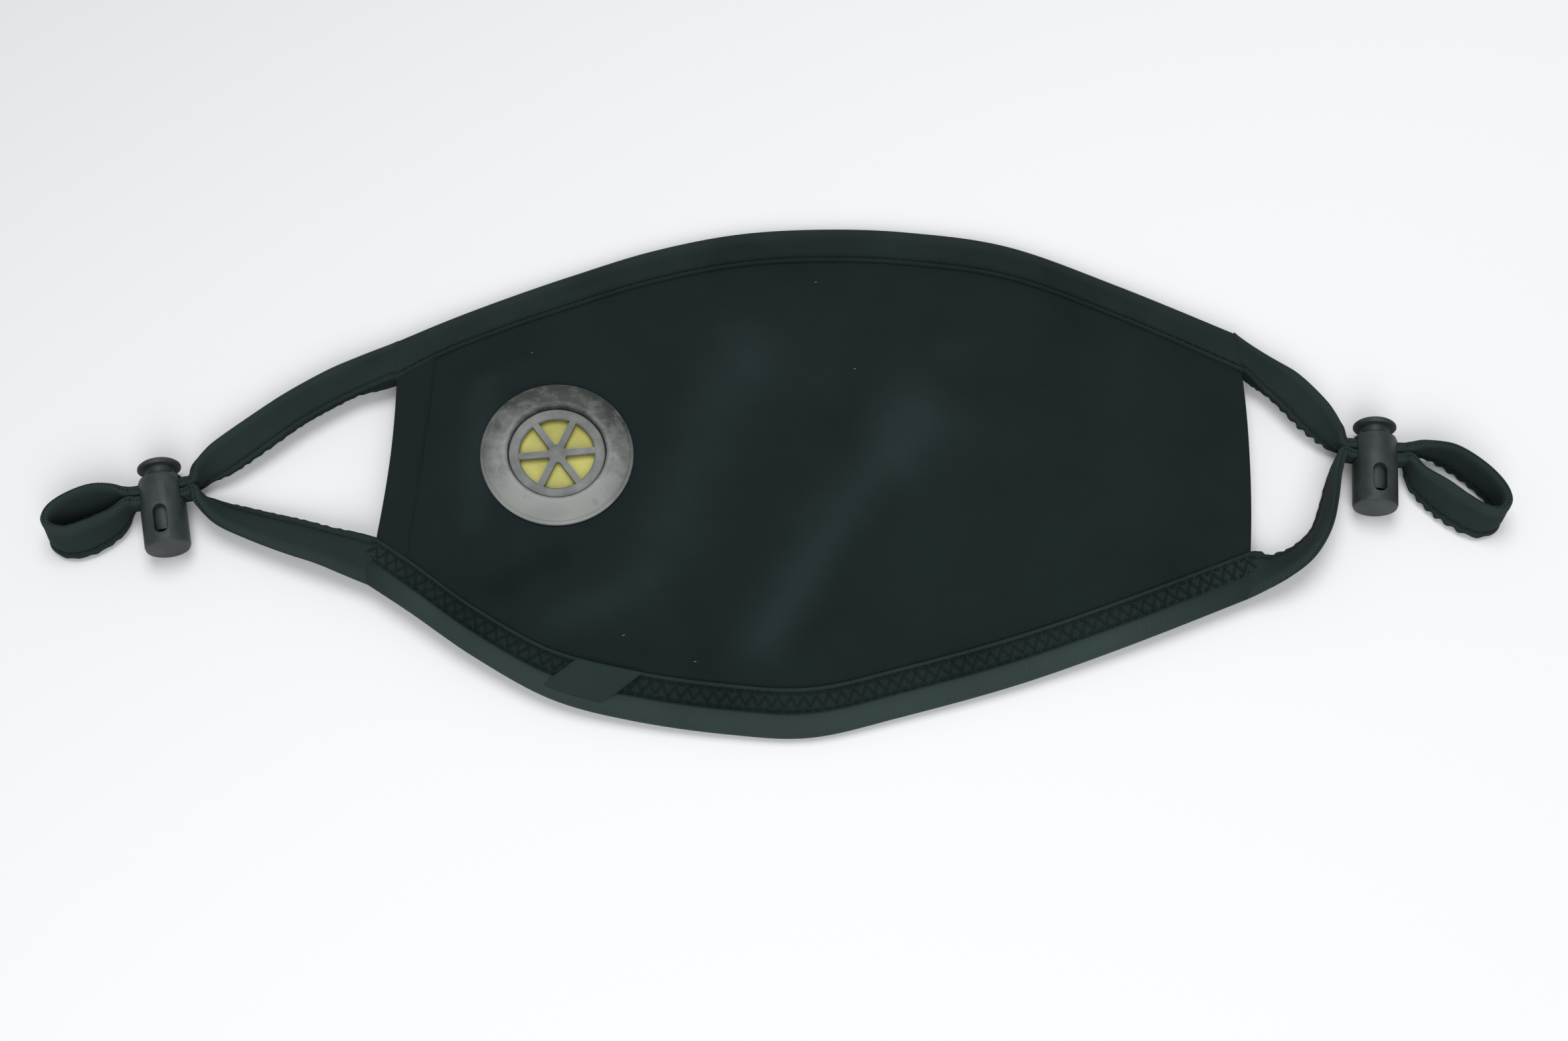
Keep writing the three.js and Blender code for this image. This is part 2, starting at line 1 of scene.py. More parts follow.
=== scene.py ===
# %% [markdown]
# # A cloth face mask, finished around its CAD frame
# The mask lies face up on a pale table. Its working shape, the places of its locks and the room
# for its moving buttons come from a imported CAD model. Here we give each piece the surface that
# the real one has. We could start by sculpting, but cloth with sewn edges follows rules, so we
# write the rules down: one surface for the cloth, and everything sewn to it follows that surface.

# %% Load the frame
import json
import math

import bmesh
import bpy
import numpy as np
from mathutils import Matrix, Vector

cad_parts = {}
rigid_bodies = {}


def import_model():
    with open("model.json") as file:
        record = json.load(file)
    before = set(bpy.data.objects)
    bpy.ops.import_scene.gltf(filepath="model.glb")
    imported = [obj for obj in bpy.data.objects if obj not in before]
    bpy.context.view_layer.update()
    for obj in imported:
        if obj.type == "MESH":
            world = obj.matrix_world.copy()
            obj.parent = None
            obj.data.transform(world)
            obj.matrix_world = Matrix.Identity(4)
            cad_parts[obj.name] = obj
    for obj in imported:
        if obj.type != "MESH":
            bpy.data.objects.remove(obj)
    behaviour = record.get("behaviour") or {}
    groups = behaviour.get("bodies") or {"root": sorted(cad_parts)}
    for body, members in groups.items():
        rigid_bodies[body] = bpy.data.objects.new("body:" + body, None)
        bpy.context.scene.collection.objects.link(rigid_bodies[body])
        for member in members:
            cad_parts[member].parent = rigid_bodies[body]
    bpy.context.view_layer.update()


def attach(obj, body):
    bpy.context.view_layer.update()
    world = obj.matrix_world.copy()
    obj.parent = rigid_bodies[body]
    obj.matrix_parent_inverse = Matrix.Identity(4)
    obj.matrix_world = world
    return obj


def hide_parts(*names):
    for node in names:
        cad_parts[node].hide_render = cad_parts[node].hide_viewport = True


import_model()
MM = 0.001                      # tables below are in millimetres, as a pattern cutter writes them
CENTRE = np.array([1.55, -12.48, 0.0])   # brings the tables' origin to the frame's origin
BODY = "mask"

# %% [markdown]
# ## Camera, light and table
# A small soft thing is best shown from above with a big soft light. We look down at 66 degrees
# with a normal lens. A large lamp beyond the nose edge makes the short soft shadow on the near
# side, and an even pale sky fills the rest. A single hard lamp would draw folds more sharply than
# matt jersey shows them. A second lamp on the near side lights the round chin edge, and the
# table has painted shade that darkens it a little towards the far left.

# %% Camera
ELEVATION = math.radians(66)
DISTANCE = 0.529
TARGET = Vector(CENTRE) * MM
LENS, SENSOR_WIDTH = 50, 36     # millimetres

camera_data = bpy.data.cameras.new("camera")
camera_data.lens, camera_data.sensor_width = LENS, SENSOR_WIDTH
camera = bpy.data.objects.new("camera", camera_data)
bpy.context.scene.collection.objects.link(camera)
away = Vector((0, -math.cos(ELEVATION), math.sin(ELEVATION)))
camera.location = TARGET + away * DISTANCE
camera.rotation_euler = away.to_track_quat("Z", "Y").to_euler()
bpy.context.scene.camera = camera
print("camera at", [round(v, 3) for v in camera.location])

# %% Light
bpy.context.scene.view_settings.view_transform = "Standard"
SKY, SKY_COLOR = 0.40, (0.97, 0.98, 1.0, 1)
LAMPS = {                       # place, size and power of each soft lamp
    "key_lamp": {"place": (-0.05, 0.38, 1.25), "size": 0.85, "watts": 8.2},
    "near_lamp": {"place": (0.10, -0.95, 0.85), "size": 0.9, "watts": 8.2},
}

world = bpy.data.worlds.new("pale_room")
world.use_nodes = True
sky = world.node_tree.nodes["Background"].inputs
sky["Color"].default_value, sky["Strength"].default_value = SKY_COLOR, SKY
bpy.context.scene.world = world
for name, lamp in LAMPS.items():
    data = bpy.data.lights.new(name, "AREA")
    data.shape, data.size, data.energy = "DISK", lamp["size"], lamp["watts"]
    lamp_object = bpy.data.objects.new(name, data)
    lamp_object.location = lamp["place"]
    lamp_object.rotation_euler = Vector(lamp["place"]).to_track_quat("Z", "Y").to_euler()
    bpy.context.scene.collection.objects.link(lamp_object)
print("lamps:", ", ".join(LAMPS))

# %% [markdown]
# ## Turning numbers into pieces
# Every piece is a grid or a row of rings worked out with numpy. One helper makes the mesh, puts
# its place into its points and turns its faces outwards. Each face corner also gets its place on
# the cloth in millimetres as its UV, so that a knit or a weave later follows the surface.

# %% Mesh helpers
def make_piece(name, points, faces, material, uv=None, painted_light_shade=None, smooth=True):
    """A mesh object at the origin, from points in millimetres, with nothing under the table.
    Its painted light and shade value is 0 for painted shade in creases and 1 for painted highlights on
    ridges."""
    mesh = bpy.data.meshes.new(name)
    places = (np.asarray(points, float) + CENTRE) * MM
    places[:, 2] = np.maximum(places[:, 2], 0)
    mesh.from_pydata(places.tolist(), [], faces)
    if uv is not None:
        corner = np.zeros(len(mesh.loops), np.int32)
        mesh.loops.foreach_get("vertex_index", corner)
        layer = mesh.uv_layers.new(name="cloth_mm")
        layer.data.foreach_set("uv", np.asarray(uv, np.float32)[corner].ravel())
    if painted_light_shade is not None:
        values = np.asarray(painted_light_shade, np.float32).ravel()
        mesh.attributes.new("painted_light_shade", "FLOAT", "POINT").data.foreach_set("value", values)
    piece = bpy.data.objects.new(name, mesh)
    bpy.context.scene.collection.objects.link(piece)
    mesh.materials.append(material)
    edit_mesh(piece, turn_outwards)
    mesh.polygons.foreach_set("use_smooth", [smooth] * len(mesh.polygons))
    return piece


def edit_mesh(piece, change):
    """Runs a change on a piece's mesh."""
    shape = bmesh.new()
    shape.from_mesh(piece.data)
    change(shape)
    shape.to_mesh(piece.data)
    shape.free()


def turn_outwards(shape):
    """Turns a closed mesh's faces round if they face inwards."""
    if shape.calc_volume(signed=True) < 0:
        bmesh.ops.reverse_faces(shape, faces=shape.faces)


def ring_faces(rings, points_in_ring):
    """Faces that join rings of points one after another, with both ends closed."""
    faces = []
    for i in range(rings - 1):
        for j in range(points_in_ring):
            a, b = i * points_in_ring + j, i * points_in_ring + (j + 1) % points_in_ring
            faces.append((a, b, b + points_in_ring, a + points_in_ring))
    last = (rings - 1) * points_in_ring
    faces.append(tuple(range(points_in_ring))[::-1])
    faces.append(tuple(range(last, last + points_in_ring)))
    return faces


def placed(points, place):
    """Points moved and turned by a matrix, as one flat list."""
    matrix = np.array(place)
    return np.reshape(points, (-1, 3)) @ matrix[:3, :3].T + matrix[:3, 3]


def smoothstep(low, high, x):
    """0 up to low, 1 from high on, and a smooth rise between them."""
    t = np.clip((np.asarray(x, float) - low) / (high - low), 0, 1)
    return t * t * (3 - 2 * t)


def unit(vectors):
    return vectors / np.linalg.norm(vectors, axis=-1, keepdims=True)


def running_length(points):
    """Distance along a line of points, from its first point to each of them."""
    steps = np.linalg.norm(np.diff(points, axis=0), axis=1)
    return np.concatenate([[0], np.cumsum(steps)])


def table(columns, rows):
    """A table with named columns as one array for each. Values left out at a row's end are 0."""
    full = [(*row, *[0] * (len(columns) - len(row))) for row in rows]
    return {name: np.array([row[k] for row in full], float) for k, name in enumerate(columns)}


def column(values, t):
    """A table's column at shares t from 0 to 1, on a smooth curve through its rows."""
    last = len(values) - 1
    at = np.asarray(t, float) * last
    i = np.clip(np.floor(at).astype(int), 0, last - 1)
    f = at - i
    a, b, c, d = (values[np.clip(i + k, 0, last)] for k in (-1, 0, 1, 2))
    return b + 0.5 * f * (c - a + f * (2 * a - 5 * b + 4 * c - d + f * (3 * (b - c) + d - a)))


# %% [markdown]
# ## Finishes
# The whole mask is near black, so its materials differ in small ways: jersey is soft and drifts
# between blue and green black, tape has a painted highlight on its round edge, soft valve plastic is
# worn and has painted light on its near side and painted shade on its far side, and the locks have a
# fine moulded grain. Cloth has painted highlights on its ridges and painted shade in its creases, so
# each cloth point carries a painted light and shade value. All are built from noise and waves. A flat
# colour would turn the folds into a silhouette.

# %% Node helpers, for materials and for node trees
def material(name, color, roughness, **sockets):
    """A plain material, with further sockets named with _ for each space."""
    made = bpy.data.materials.new(name)
    made.use_nodes = True
    shader = made.node_tree.nodes["Principled BSDF"]
    shader.inputs["Base Color"].default_value = (*color, 1)
    shader.inputs["Roughness"].default_value = roughness
    for socket, value in sockets.items():
        shader.inputs[socket.replace("_", " ")].default_value = value
    return made


def tree_of(made):
    return getattr(made, "node_tree", made)


def node(made, kind, **settings):
    """A node with its settings, and its input values by name under inputs={}."""
    added = tree_of(made).nodes.new(kind)
    values = settings.pop("inputs", {})
    for key, value in settings.items():
        setattr(added, key, value)
    for socket, value in values.items():
        added.inputs[socket].default_value = value
    return added


def link(made, source, target):
    tree_of(made).links.new(source, target)


def wired(made, kind, wires, **settings):
    """A node whose named inputs are joined to the given outputs."""
    added = node(made, kind, **settings)
    for socket, source in wires.items():
        link(made, source, added.inputs[socket])
    return added


def math_node(made, operation, *values):
    """A sum of numbers or other nodes' outputs."""
    added = node(made, "ShaderNodeMath", operation=operation)
    for socket, value in zip(added.inputs, values):
        if isinstance(value, (int, float)):
            socket.default_value = value
        else:
            link(made, value, socket)
    return added.outputs["Value"]


# %% Surface helpers
def noise(made, coordinates, scale, detail=3.0, roughness=0.55):
    return wired(made, "ShaderNodeTexNoise", {"Vector": coordinates}, inputs={
        "Scale": scale, "Detail": detail, "Roughness": roughness}).outputs["Fac"]


def map_range(made, value, low, high, most=1.0, kind="LINEAR"):
    """0 at low, most at high, and held there outside them."""
    return wired(made, "ShaderNodeMapRange", {"Value": value}, interpolation_type=kind, inputs={
        "From Min": low, "From Max": high, "To Max": most}).outputs["Result"]


def two_tone(made, share, dark, light, low, high):
    """Colour from dark to light as share goes from low to high."""
    ramp = wired(made, "ShaderNodeValToRGB", {"Fac": share})
    for stop, place, color in zip(ramp.color_ramp.elements, (low, high), (dark, light)):
        stop.position, stop.color = place, (*color, 1)
    return ramp.outputs["Color"]


def paint(made, color):
    link(made, color, made.node_tree.nodes["Principled BSDF"].inputs["Base Color"])


def bump(made, height, distance):
    raised = wired(made, "ShaderNodeBump", {"Height": height},
                   inputs={"Distance": distance, "Strength": 1.0})
    link(made, raised.outputs["Normal"],
         made.node_tree.nodes["Principled BSDF"].inputs["Normal"])


# %% Knitted cloth
WAVE_PERIOD = math.pi / 10      # a band texture of scale 1 repeats at this length
CLOUD_SCALE, FIBRE_SCALE = 38.0, 1500.0
CLOUD_SHARE, PAINTED_LIGHT_SHARE = 0.5, 0.75    # what random drift and painted light and shade add to the cloth's paleness
DARKEST, PALEST = 0.18, 1.0              # paleness at the dark and the light end of its colours


def knit(name, dark, light, wale, course, depth, sheen):
    """Jersey or knitted tape: ribs of loops one way, rows of loops the other, and loose fibre.
    Its ridges get painted highlights and its creases painted shade."""
    made = material(name, light, 0.92, Specular_IOR_Level=0.10, Sheen_Weight=sheen,
                    Sheen_Roughness=0.5)
    place = node(made, "ShaderNodeTexCoord").outputs
    # Painted light and shade: the painted light value of each point makes ridges paler and creases
    # darker.
    painted_light_shade = node(made, "ShaderNodeAttribute", attribute_name="painted_light_shade").outputs["Fac"]
    cloudy = math_node(made, "MULTIPLY", noise(made, place["Object"], CLOUD_SCALE), CLOUD_SHARE)
    share = math_node(made, "ADD", math_node(made, "MULTIPLY", painted_light_shade, PAINTED_LIGHT_SHARE), cloudy)
    paint(made, two_tone(made, share, dark, light, DARKEST, PALEST))
    waves = [wired(made, "ShaderNodeTexWave", {"Vector": place["UV"]}, bands_direction=direction,
                   inputs={"Scale": WAVE_PERIOD / pitch, "Distortion": 1.2, "Detail": 1.0})
             for pitch, direction in ((wale, "X"), (course, "Y"))]
    loops = math_node(made, "MULTIPLY", *[wave.outputs["Fac"] for wave in waves])
    fibre = noise(made, place["Object"], FIBRE_SCALE, 4.0, 0.7)
    bump(made, math_node(made, "ADD", loops, fibre), depth)
    return made


jersey = knit("cotton_jersey", (0.0032, 0.0072, 0.0068), (0.0175, 0.0275, 0.0290),
              wale=0.62, course=0.5, depth=0.00010, sheen=0.020)
tape_cloth = knit("edge_tape", (0.0055, 0.0120, 0.0108), (0.0330, 0.0520, 0.0495),
                  wale=0.8, course=0.45, depth=0.00008, sheen=0.020)
thread = material("sewing_thread", (0.010, 0.018, 0.017), 0.8, Specular_IOR_Level=0.25)
lint_fibre = material("pale_lint", (0.20, 0.24, 0.24), 0.9)
print("cloth finishes:", jersey.name, tape_cloth.name, thread.name)


# %% Moulded plastics
def plastic(name, dark, light, scale, roughness, grain, grain_scale):
    """Hard plastic whose colour drifts a little, with a fine grain."""
    made = material(name, light, roughness, Specular_IOR_Level=0.4)
    place = node(made, "ShaderNodeTexCoord").outputs["Object"]
    paint(made, two_tone(made, noise(made, place, scale), dark, light, 0.35, 0.68))
    bump(made, noise(made, place, grain_scale, 4.0), grain)
    return made


# Where the painted light on the outer ring starts and ends, in the frame's metres.
RING_PAINTED_LIGHT = {"far": 0.012, "near": -0.027, "right": -0.036, "left": -0.070, "side_share": 0.06}
CLOUD = {"scale": 280.0, "share": 0.85}      # fine clouding of the painted light
WEAR = {"scale": 75.0, "low": 0.48, "high": 0.75, "most": 0.5}


def worn_rubber_with_painted_light(name, dark, light, worn):
    """Soft grey plastic with painted light on its near left side, painted shade on its far side, and
    wide soft darker wear.
    """
    made = material(name, light, 0.46, Specular_IOR_Level=0.45)
    place = node(made, "ShaderNodeTexCoord").outputs["Object"]
    split = wired(made, "ShaderNodeSeparateXYZ", {"Vector": place}).outputs
    # Painted light: the ring is painted paler towards its near left side and darker towards its far
    # side.
    down = map_range(made, split["Y"], RING_PAINTED_LIGHT["far"], RING_PAINTED_LIGHT["near"])
    aside = map_range(made, split["X"], RING_PAINTED_LIGHT["right"], RING_PAINTED_LIGHT["left"], RING_PAINTED_LIGHT["side_share"])
    fine = noise(made, place, CLOUD["scale"], 4.0, 0.66)
    ring_light = math_node(made, "ADD", math_node(made, "ADD", down, aside),
                      math_node(made, "MULTIPLY", fine, CLOUD["share"]))
    wear_and_painted_light = map_range(made, noise(made, place, WEAR["scale"], 0.0, 0.4),
                     WEAR["low"], WEAR["high"], WEAR["most"])
    mix = wired(made, "ShaderNodeMix", {"Factor": wear_and_painted_light}, data_type="RGBA")
    clean_color, worn_color = (socket for socket in mix.inputs if socket.type == "RGBA")
    worn_color.default_value = (*worn, 1)
    link(made, two_tone(made, ring_light, dark, light, 0.42, 1.0), clean_color)
    paint(made, next(socket for socket in mix.outputs if socket.type == "RGBA"))
    bump(made, noise(made, place, 900.0, 4.0), 0.00008)
    return made


ring_grey = worn_rubber_with_painted_light("valve_ring_grey", (0.028, 0.034, 0.031), (0.235, 0.248, 0.236),
                        (0.05, 0.055, 0.05))
valve_grey = plastic("valve_grille_grey", (0.115, 0.124, 0.117), (0.180, 0.192, 0.182), 260, 0.5,
                     0.00008, 900)
valve_yellow = plastic("valve_yellow", (0.34, 0.320, 0.055), (0.47, 0.445, 0.095), 120, 0.42,
                       0.00003, 600)
lock_plastic = plastic("lock_plastic", (0.017, 0.023, 0.024), (0.030, 0.038, 0.039), 260, 0.5,
                       0.00005, 1600)


PAPER, PAPER_PAINTED_SHADE = (0.86, 0.865, 0.87), (0.66, 0.67, 0.69)
PAINTED_SHADE_FALL_OFF = {"turn": -125, "low": -0.06, "high": 0.42}   # degrees round, and metres from the mask


def pale_table():
    """Smooth pale paper with painted shade that darkens it a little towards the far left."""
    made = material("pale_table", PAPER, 0.7, Specular_IOR_Level=0.2)
    place = node(made, "ShaderNodeTexCoord").outputs["Object"]
    turn = wired(made, "ShaderNodeMapping", {"Vector": place}, vector_type="POINT",
                 inputs={"Rotation": (0, 0, math.radians(PAINTED_SHADE_FALL_OFF["turn"]))})
    along = wired(made, "ShaderNodeSeparateXYZ", {"Vector": turn.outputs["Vector"]}).outputs["X"]
    # Painted shade: the paper is painted darker towards the far left.
    reach = map_range(made, along, PAINTED_SHADE_FALL_OFF["low"], PAINTED_SHADE_FALL_OFF["high"], kind="SMOOTHSTEP")
    paint(made, two_tone(made, reach, PAPER, PAPER_PAINTED_SHADE, 0.0, 1.0))
    return made


table_top = pale_table()
print("plastic finishes:", valve_grey.name, valve_yellow.name, lock_plastic.name)

# %% The table under the mask
FLOOR = 6000.0
corners = [(-FLOOR, -FLOOR, 0), (FLOOR, -FLOOR, 0), (FLOOR, FLOOR, 0), (-FLOOR, FLOOR, 0)]
floor_mesh = bpy.data.meshes.new("table")
floor_mesh.from_pydata([tuple(MM * c for c in p) for p in corners], [], [(0, 1, 2, 3)])
floor_mesh.materials.append(table_top)
floor = bpy.data.objects.new("table", floor_mesh)
bpy.context.scene.collection.objects.link(floor)

# %% [markdown]
# ## The cloth surface
# The body of the mask is two layers of jersey, sewn at the edges into a shallow dome. A simulation
# could drape it, but it lies in a particular way: pulled flat by the stiff valve, with a few long
# soft folds that run up from the chin. So its shape is written as a short table of cross sections
# from hem to fold, a short table of folds, and a flat seat under the valve.

# %% Shape of the cloth
CLOTH = 1.6                     # two layers of jersey
PLATEAU = 2.6                   # how flat the top of the dome is: 2 is a parabola
SECTIONS = table(
    ("x_low", "y_low", "z_low", "x_high", "y_high", "z_high", "rise", "bow"), [
        (-98.6, -17.2, 5.6, -96.6, 45.4, 3.5, 3.0, 2.4),
        (-88.0, -24.4, 5.6, -83.5, 52.2, 2.9, 5.6, 1.0),
        (-72.2, -35.5, 5.0, -69.0, 58.9, 2.4, 7.2, 0),
        (-54.0, -45.4, 3.8, -53.2, 65.4, 2.1, 8.4, 0),
        (-34.4, -50.4, 2.7, -33.5, 72.6, 1.9, 9.0, 0),
        (-12.0, -53.4, 1.9, -12.0, 77.6, 1.8, 9.6, 0),
        (6.5, -54.0, 1.7, 10.0, 79.2, 1.7, 9.8, 0),
        (27.0, -49.2, 2.0, 32.0, 78.2, 1.8, 9.4, 0),
        (54.5, -41.4, 2.5, 57.0, 73.8, 2.1, 8.4, 0),
        (81.0, -32.0, 3.4, 84.0, 62.0, 2.8, 6.8, 0.6),
        (110.2, -20.4, 4.2, 113.0, 47.4, 3.7, 3.6, 1.2),
    ])
# Soft folds of the cloth: a ridge (+) or valley (-) from one point to another.
FOLD_COLUMNS = ("x0", "y0", "x1", "y1", "width", "height")
FOLDS = [dict(zip(FOLD_COLUMNS, row)) for row in (
    (-8, -42, 36, 26, 8, 1.6),       # long ridge, chin to middle
    (0, -40, 26, 6, 6, -1.1),        # valley along its right side
    (-32, -14, -6, 46, 9, 1.0),      # ridge right of the valve
    (-56, -32, -28, -18, 5, 0.9),    # short chin pucker
    (-52, -37, -30, -39, 4, -0.8),   # valley beside it
    (-74, -8, -72, 34, 4, 0.7),      # pull left of the valve
    (-70, -24, -50, -12, 4, -0.5),   # small pull under the valve
    (20, 18, 44, 44, 7, 0.5),        # faint end of the long ridge
)]
VALVE_PLACE = Matrix.Translation((-54.5, 11.8, 11.4)) @ (
    Matrix.Rotation(math.radians(2.5), 4, "X") @ Matrix.Rotation(math.radians(4.0), 4, "Y"))
VALVE_RADIUS, VALVE_HOLE, SEAT_FADE = 18.3, 13.2, 13.0
FOLD_RELIEF = 1.45              # the finished cloth folds a little more than the plain solid does


def fold_height(x, y):
    """How far the folds lift or sink the cloth at each place."""
    total = np.zeros(np.shape(x))
    for fold in FOLDS:
        dx, dy = fold["x1"] - fold["x0"], fold["y1"] - fold["y0"]
        length, width = math.hypot(dx, dy), fold["width"]
        along = ((x - fold["x0"]) * dx + (y - fold["y0"]) * dy) / length
        across = ((x - fold["x0"]) * dy - (y - fold["y0"]) * dx) / length
        ends = smoothstep(-width, width, along) * smoothstep(-width, width, length - along)
        total = total + fold["height"] * ends * np.exp(-((across / width) ** 2))
    return total * FOLD_RELIEF


def fold_fade(u, v):
    """Folds die out towards the sewn edges."""
    from_edge = smoothstep(0.06, 0.18, np.minimum(v, 1 - v))
    return from_edge * smoothstep(0, 0.06, np.minimum(u, 1 - u))


def cloth_points(u, v):
    """Middle of the cloth: u from hem to fold, v from chin edge to nose edge."""
    u, v = np.broadcast_arrays(np.asarray(u, float), np.asarray(v, float))
    part = {name: column(values, u) for name, values in SECTIONS.items()}
    mix = {k: part[f"{k}_low"] * (1 - v) + part[f"{k}_high"] * v for k in "xyz"}
    arch = 1 - np.abs(2 * v - 1) ** PLATEAU
    x = mix["x"] + part["bow"] * 4 * v * (1 - v)
    y = mix["y"]
    z = mix["z"] + part["rise"] * arch + fold_height(x, y) * fold_fade(u, v)
    place, up = VALVE_PLACE.translation, VALVE_PLACE.to_3x3() @ Vector((0, 0, 1))
    seat_z = place.z - (up.x * (x - place.x) + up.y * (y - place.y)) / up.z
    away_from_valve = np.hypot(x - place.x, y - place.y)
    seat = 1 - smoothstep(VALVE_RADIUS + 1, VALVE_RADIUS + SEAT_FADE, away_from_valve)
    return np.stack([x, y, z * (1 - seat) + seat_z * seat], -1)


def cloth_normals(u, v, step=0.004):
    """Outward directions of the cloth."""
    u, v = np.broadcast_arrays(np.asarray(u, float), np.asarray(v, float))
    cu, cv = np.clip(u, step, 1 - step), np.clip(v, step, 1 - step)
    along_u = cloth_points(cu + step, v) - cloth_points(cu - step, v)
    along_v = cloth_points(u, cv + step) - cloth_points(u, cv - step)
    return unit(np.cross(along_u, along_v))


KNOWN_U = np.linspace(0, 1, 801)
KNOWN_MM = running_length(cloth_points(KNOWN_U, 0.5))     # distance from the hem's edge
print("cloth length at mid height:", round(KNOWN_MM[-1], 1), "mm")

# %% [markdown]
# ## The cloth body
# The surface becomes a real wall: each point moves out to both sides by half the thickness, and
# the rim is closed. A Solidify modifier could do that, but here the thickness changes. The left
# edge is turned over and sewn into a hem, so it is thicker, and the right edge is a plain fold
# that must come out round. The hole for the valve is left open and its rim is made round.

# %% Cloth body
CLOTH_STEPS, CLOTH_ROWS = 250, 150
HEM_WIDTH, HEM_EXTRA = 9.2, 0.40
SEAM_PLACE, SEAM_WIDTH, SEAM_DEPTH = HEM_WIDTH - 0.6, 0.55, 0.42
END_STEPS = np.array([0, 0.0004, 0.0012, 0.0025, 0.0045, 0.007])   # fine steps at a round end
FLAT_PAINTED_LIGHT, FOLD_PAINTED_LIGHT_GAIN = 0.36, 0.28     # painted light of flat cloth, and what each mm of fold lift adds: painted highlight up, painted shade down


def cloth_wall(u):
    """Half the thickness of the cloth: round at both ends, thicker in the hem, pinched at its seam."""
    from_hem = np.interp(u, KNOWN_U, KNOWN_MM)
    from_fold = KNOWN_MM[-1] - from_hem
    near_end = np.clip(np.minimum(from_hem, from_fold) / (CLOTH / 2), 0, 1)
    round_end = np.sqrt(np.clip(1 - (1 - near_end) ** 2, 0.02, 1))
    hem = HEM_EXTRA * (1 - smoothstep(HEM_WIDTH - 0.4, HEM_WIDTH + 0.5, from_hem))
    seam = SEAM_DEPTH * np.exp(-((from_hem - SEAM_PLACE) / SEAM_WIDTH) ** 2)
    return (CLOTH / 2 + hem - seam) * round_end


def holed_faces(points, middle, radius):
    """Faces of a grid of points, without those round a middle, and the edges left open."""
    rows = points.shape[1]
    faces = []
    for i in range(len(points) - 1):
        for j in range(rows - 1):
            if np.hypot(*(points[i:i + 2, j:j + 2, :2].mean((0, 1)) - middle)) > radius:
                a = i * rows + j
                faces.append((a, a + rows, a + rows + 1, a + 1))
    edges = dict.fromkeys(edge for face in faces for edge in zip(face, face[1:] + face[:1]))
    return faces, [(a, b) for a, b in edges if (b, a) not in edges]


def cloth_body():
    at_seam = np.interp(SEAM_PLACE + np.linspace(-1.5, 2.1, 19), KNOWN_MM, KNOWN_U)
    u = np.unique(np.concatenate([END_STEPS, np.linspace(0.010, 0.992, CLOTH_STEPS), at_seam,
                                  1 - END_STEPS]))
    grid_u, grid_v = np.meshgrid(u, np.linspace(0, 1, CLOTH_ROWS), indexing="ij")
    points = cloth_points(grid_u, grid_v)
    valve = np.array(VALVE_PLACE.translation[:2])
    faces, rim = holed_faces(points, valve, VALVE_HOLE)
    flat = points.reshape(-1, 3)
    for a, _ in rim:                              # makes the rim of the hole round
        off = flat[a, :2] - valve
        reach = np.hypot(*off)
        if reach < VALVE_HOLE + 3:
            flat[a, :2] = valve + off * (VALVE_HOLE / reach)
    out = (cloth_normals(grid_u, grid_v) * cloth_wall(grid_u)[..., None]).reshape(-1, 3)
    count = len(flat)
    under = [tuple(k + count for k in face[::-1]) for face in faces]
    walls = [(b, a, a + count, b + count) for a, b in rim]
    # Painted light and shade: fold ridges are painted paler and fold valleys darker.
    lift = fold_height(flat[:, 0], flat[:, 1]) * fold_fade(grid_u, grid_v).ravel()
    painted_light_shade = np.clip(FLAT_PAINTED_LIGHT + FOLD_PAINTED_LIGHT_GAIN * lift, 0, 1)
    piece = make_piece("cloth_body", np.concatenate([flat + out, flat - out]),
                       faces + under + walls, jersey, np.tile(flat[:, :2], (2, 1)),
                       np.tile(painted_light_shade, 2))
    edit_mesh(piece, drop_loose_points)
    return piece


def drop_loose_points(shape):
    loose = [point for point in shape.verts if not point.link_faces]
    bmesh.ops.delete(shape, geom=loose, context="VERTS")


body_cloth = cloth_body()
print("cloth body:", len(body_cloth.data.polygons), "faces")

# %% [markdown]
# ## Edge tape
# A knitted strip is folded over the raw edge and sewn down, so its section is a U with a round
# back. We sweep that U along the edge of the cloth surface. A curve with a bevel could sweep it
# too, but then it would not lean with the cloth. On the nose edge the tape is nearly smooth, and
# on the chin edge it is a fat roll with a stitched band and a fine raised inner edge.

# %% Tape on the edges
TAPE = 0.8
BEAD = 1.8                      # how far the round back stands past the cloth's edge
EDGE_STEPS = 420
EDGE_LENGTH = 223.0             # of either edge, nearly
TOP_OF_CLOTH = CLOTH / 2 + 0.06
TAPE_TOP = TOP_OF_CLOTH + TAPE + 0.14
# Upper side of each tape from its sewn edge to its back: inset from the cloth's edge and lift.
NOSE_PROFILE = [(10.6, 0.95), (10.5, 1.45), (10.2, 1.66), (9.7, 1.58), (9.3, 1.22), (8.9, 1.20),
                (8.5, 1.62), (7.6, 1.78), (6.0, 1.76), (4.6, 1.74), (3.4, 1.84), (2.0, 1.96),
                (0.8, 1.94)]
CHIN_PROFILE = [(9.4, 0.95), (9.35, 1.50), (9.1, 1.80), (8.8, 1.82), (8.5, 1.40), (8.2, 1.08),
                (7.2, 1.32), (6.0, 1.40), (4.8, 1.30), (4.2, 1.05), (3.8, 1.10), (3.3, 1.62),
                (2.4, 2.06), (1.4, 2.22), (0.6, 2.14)]
BACK_STEPS = 7


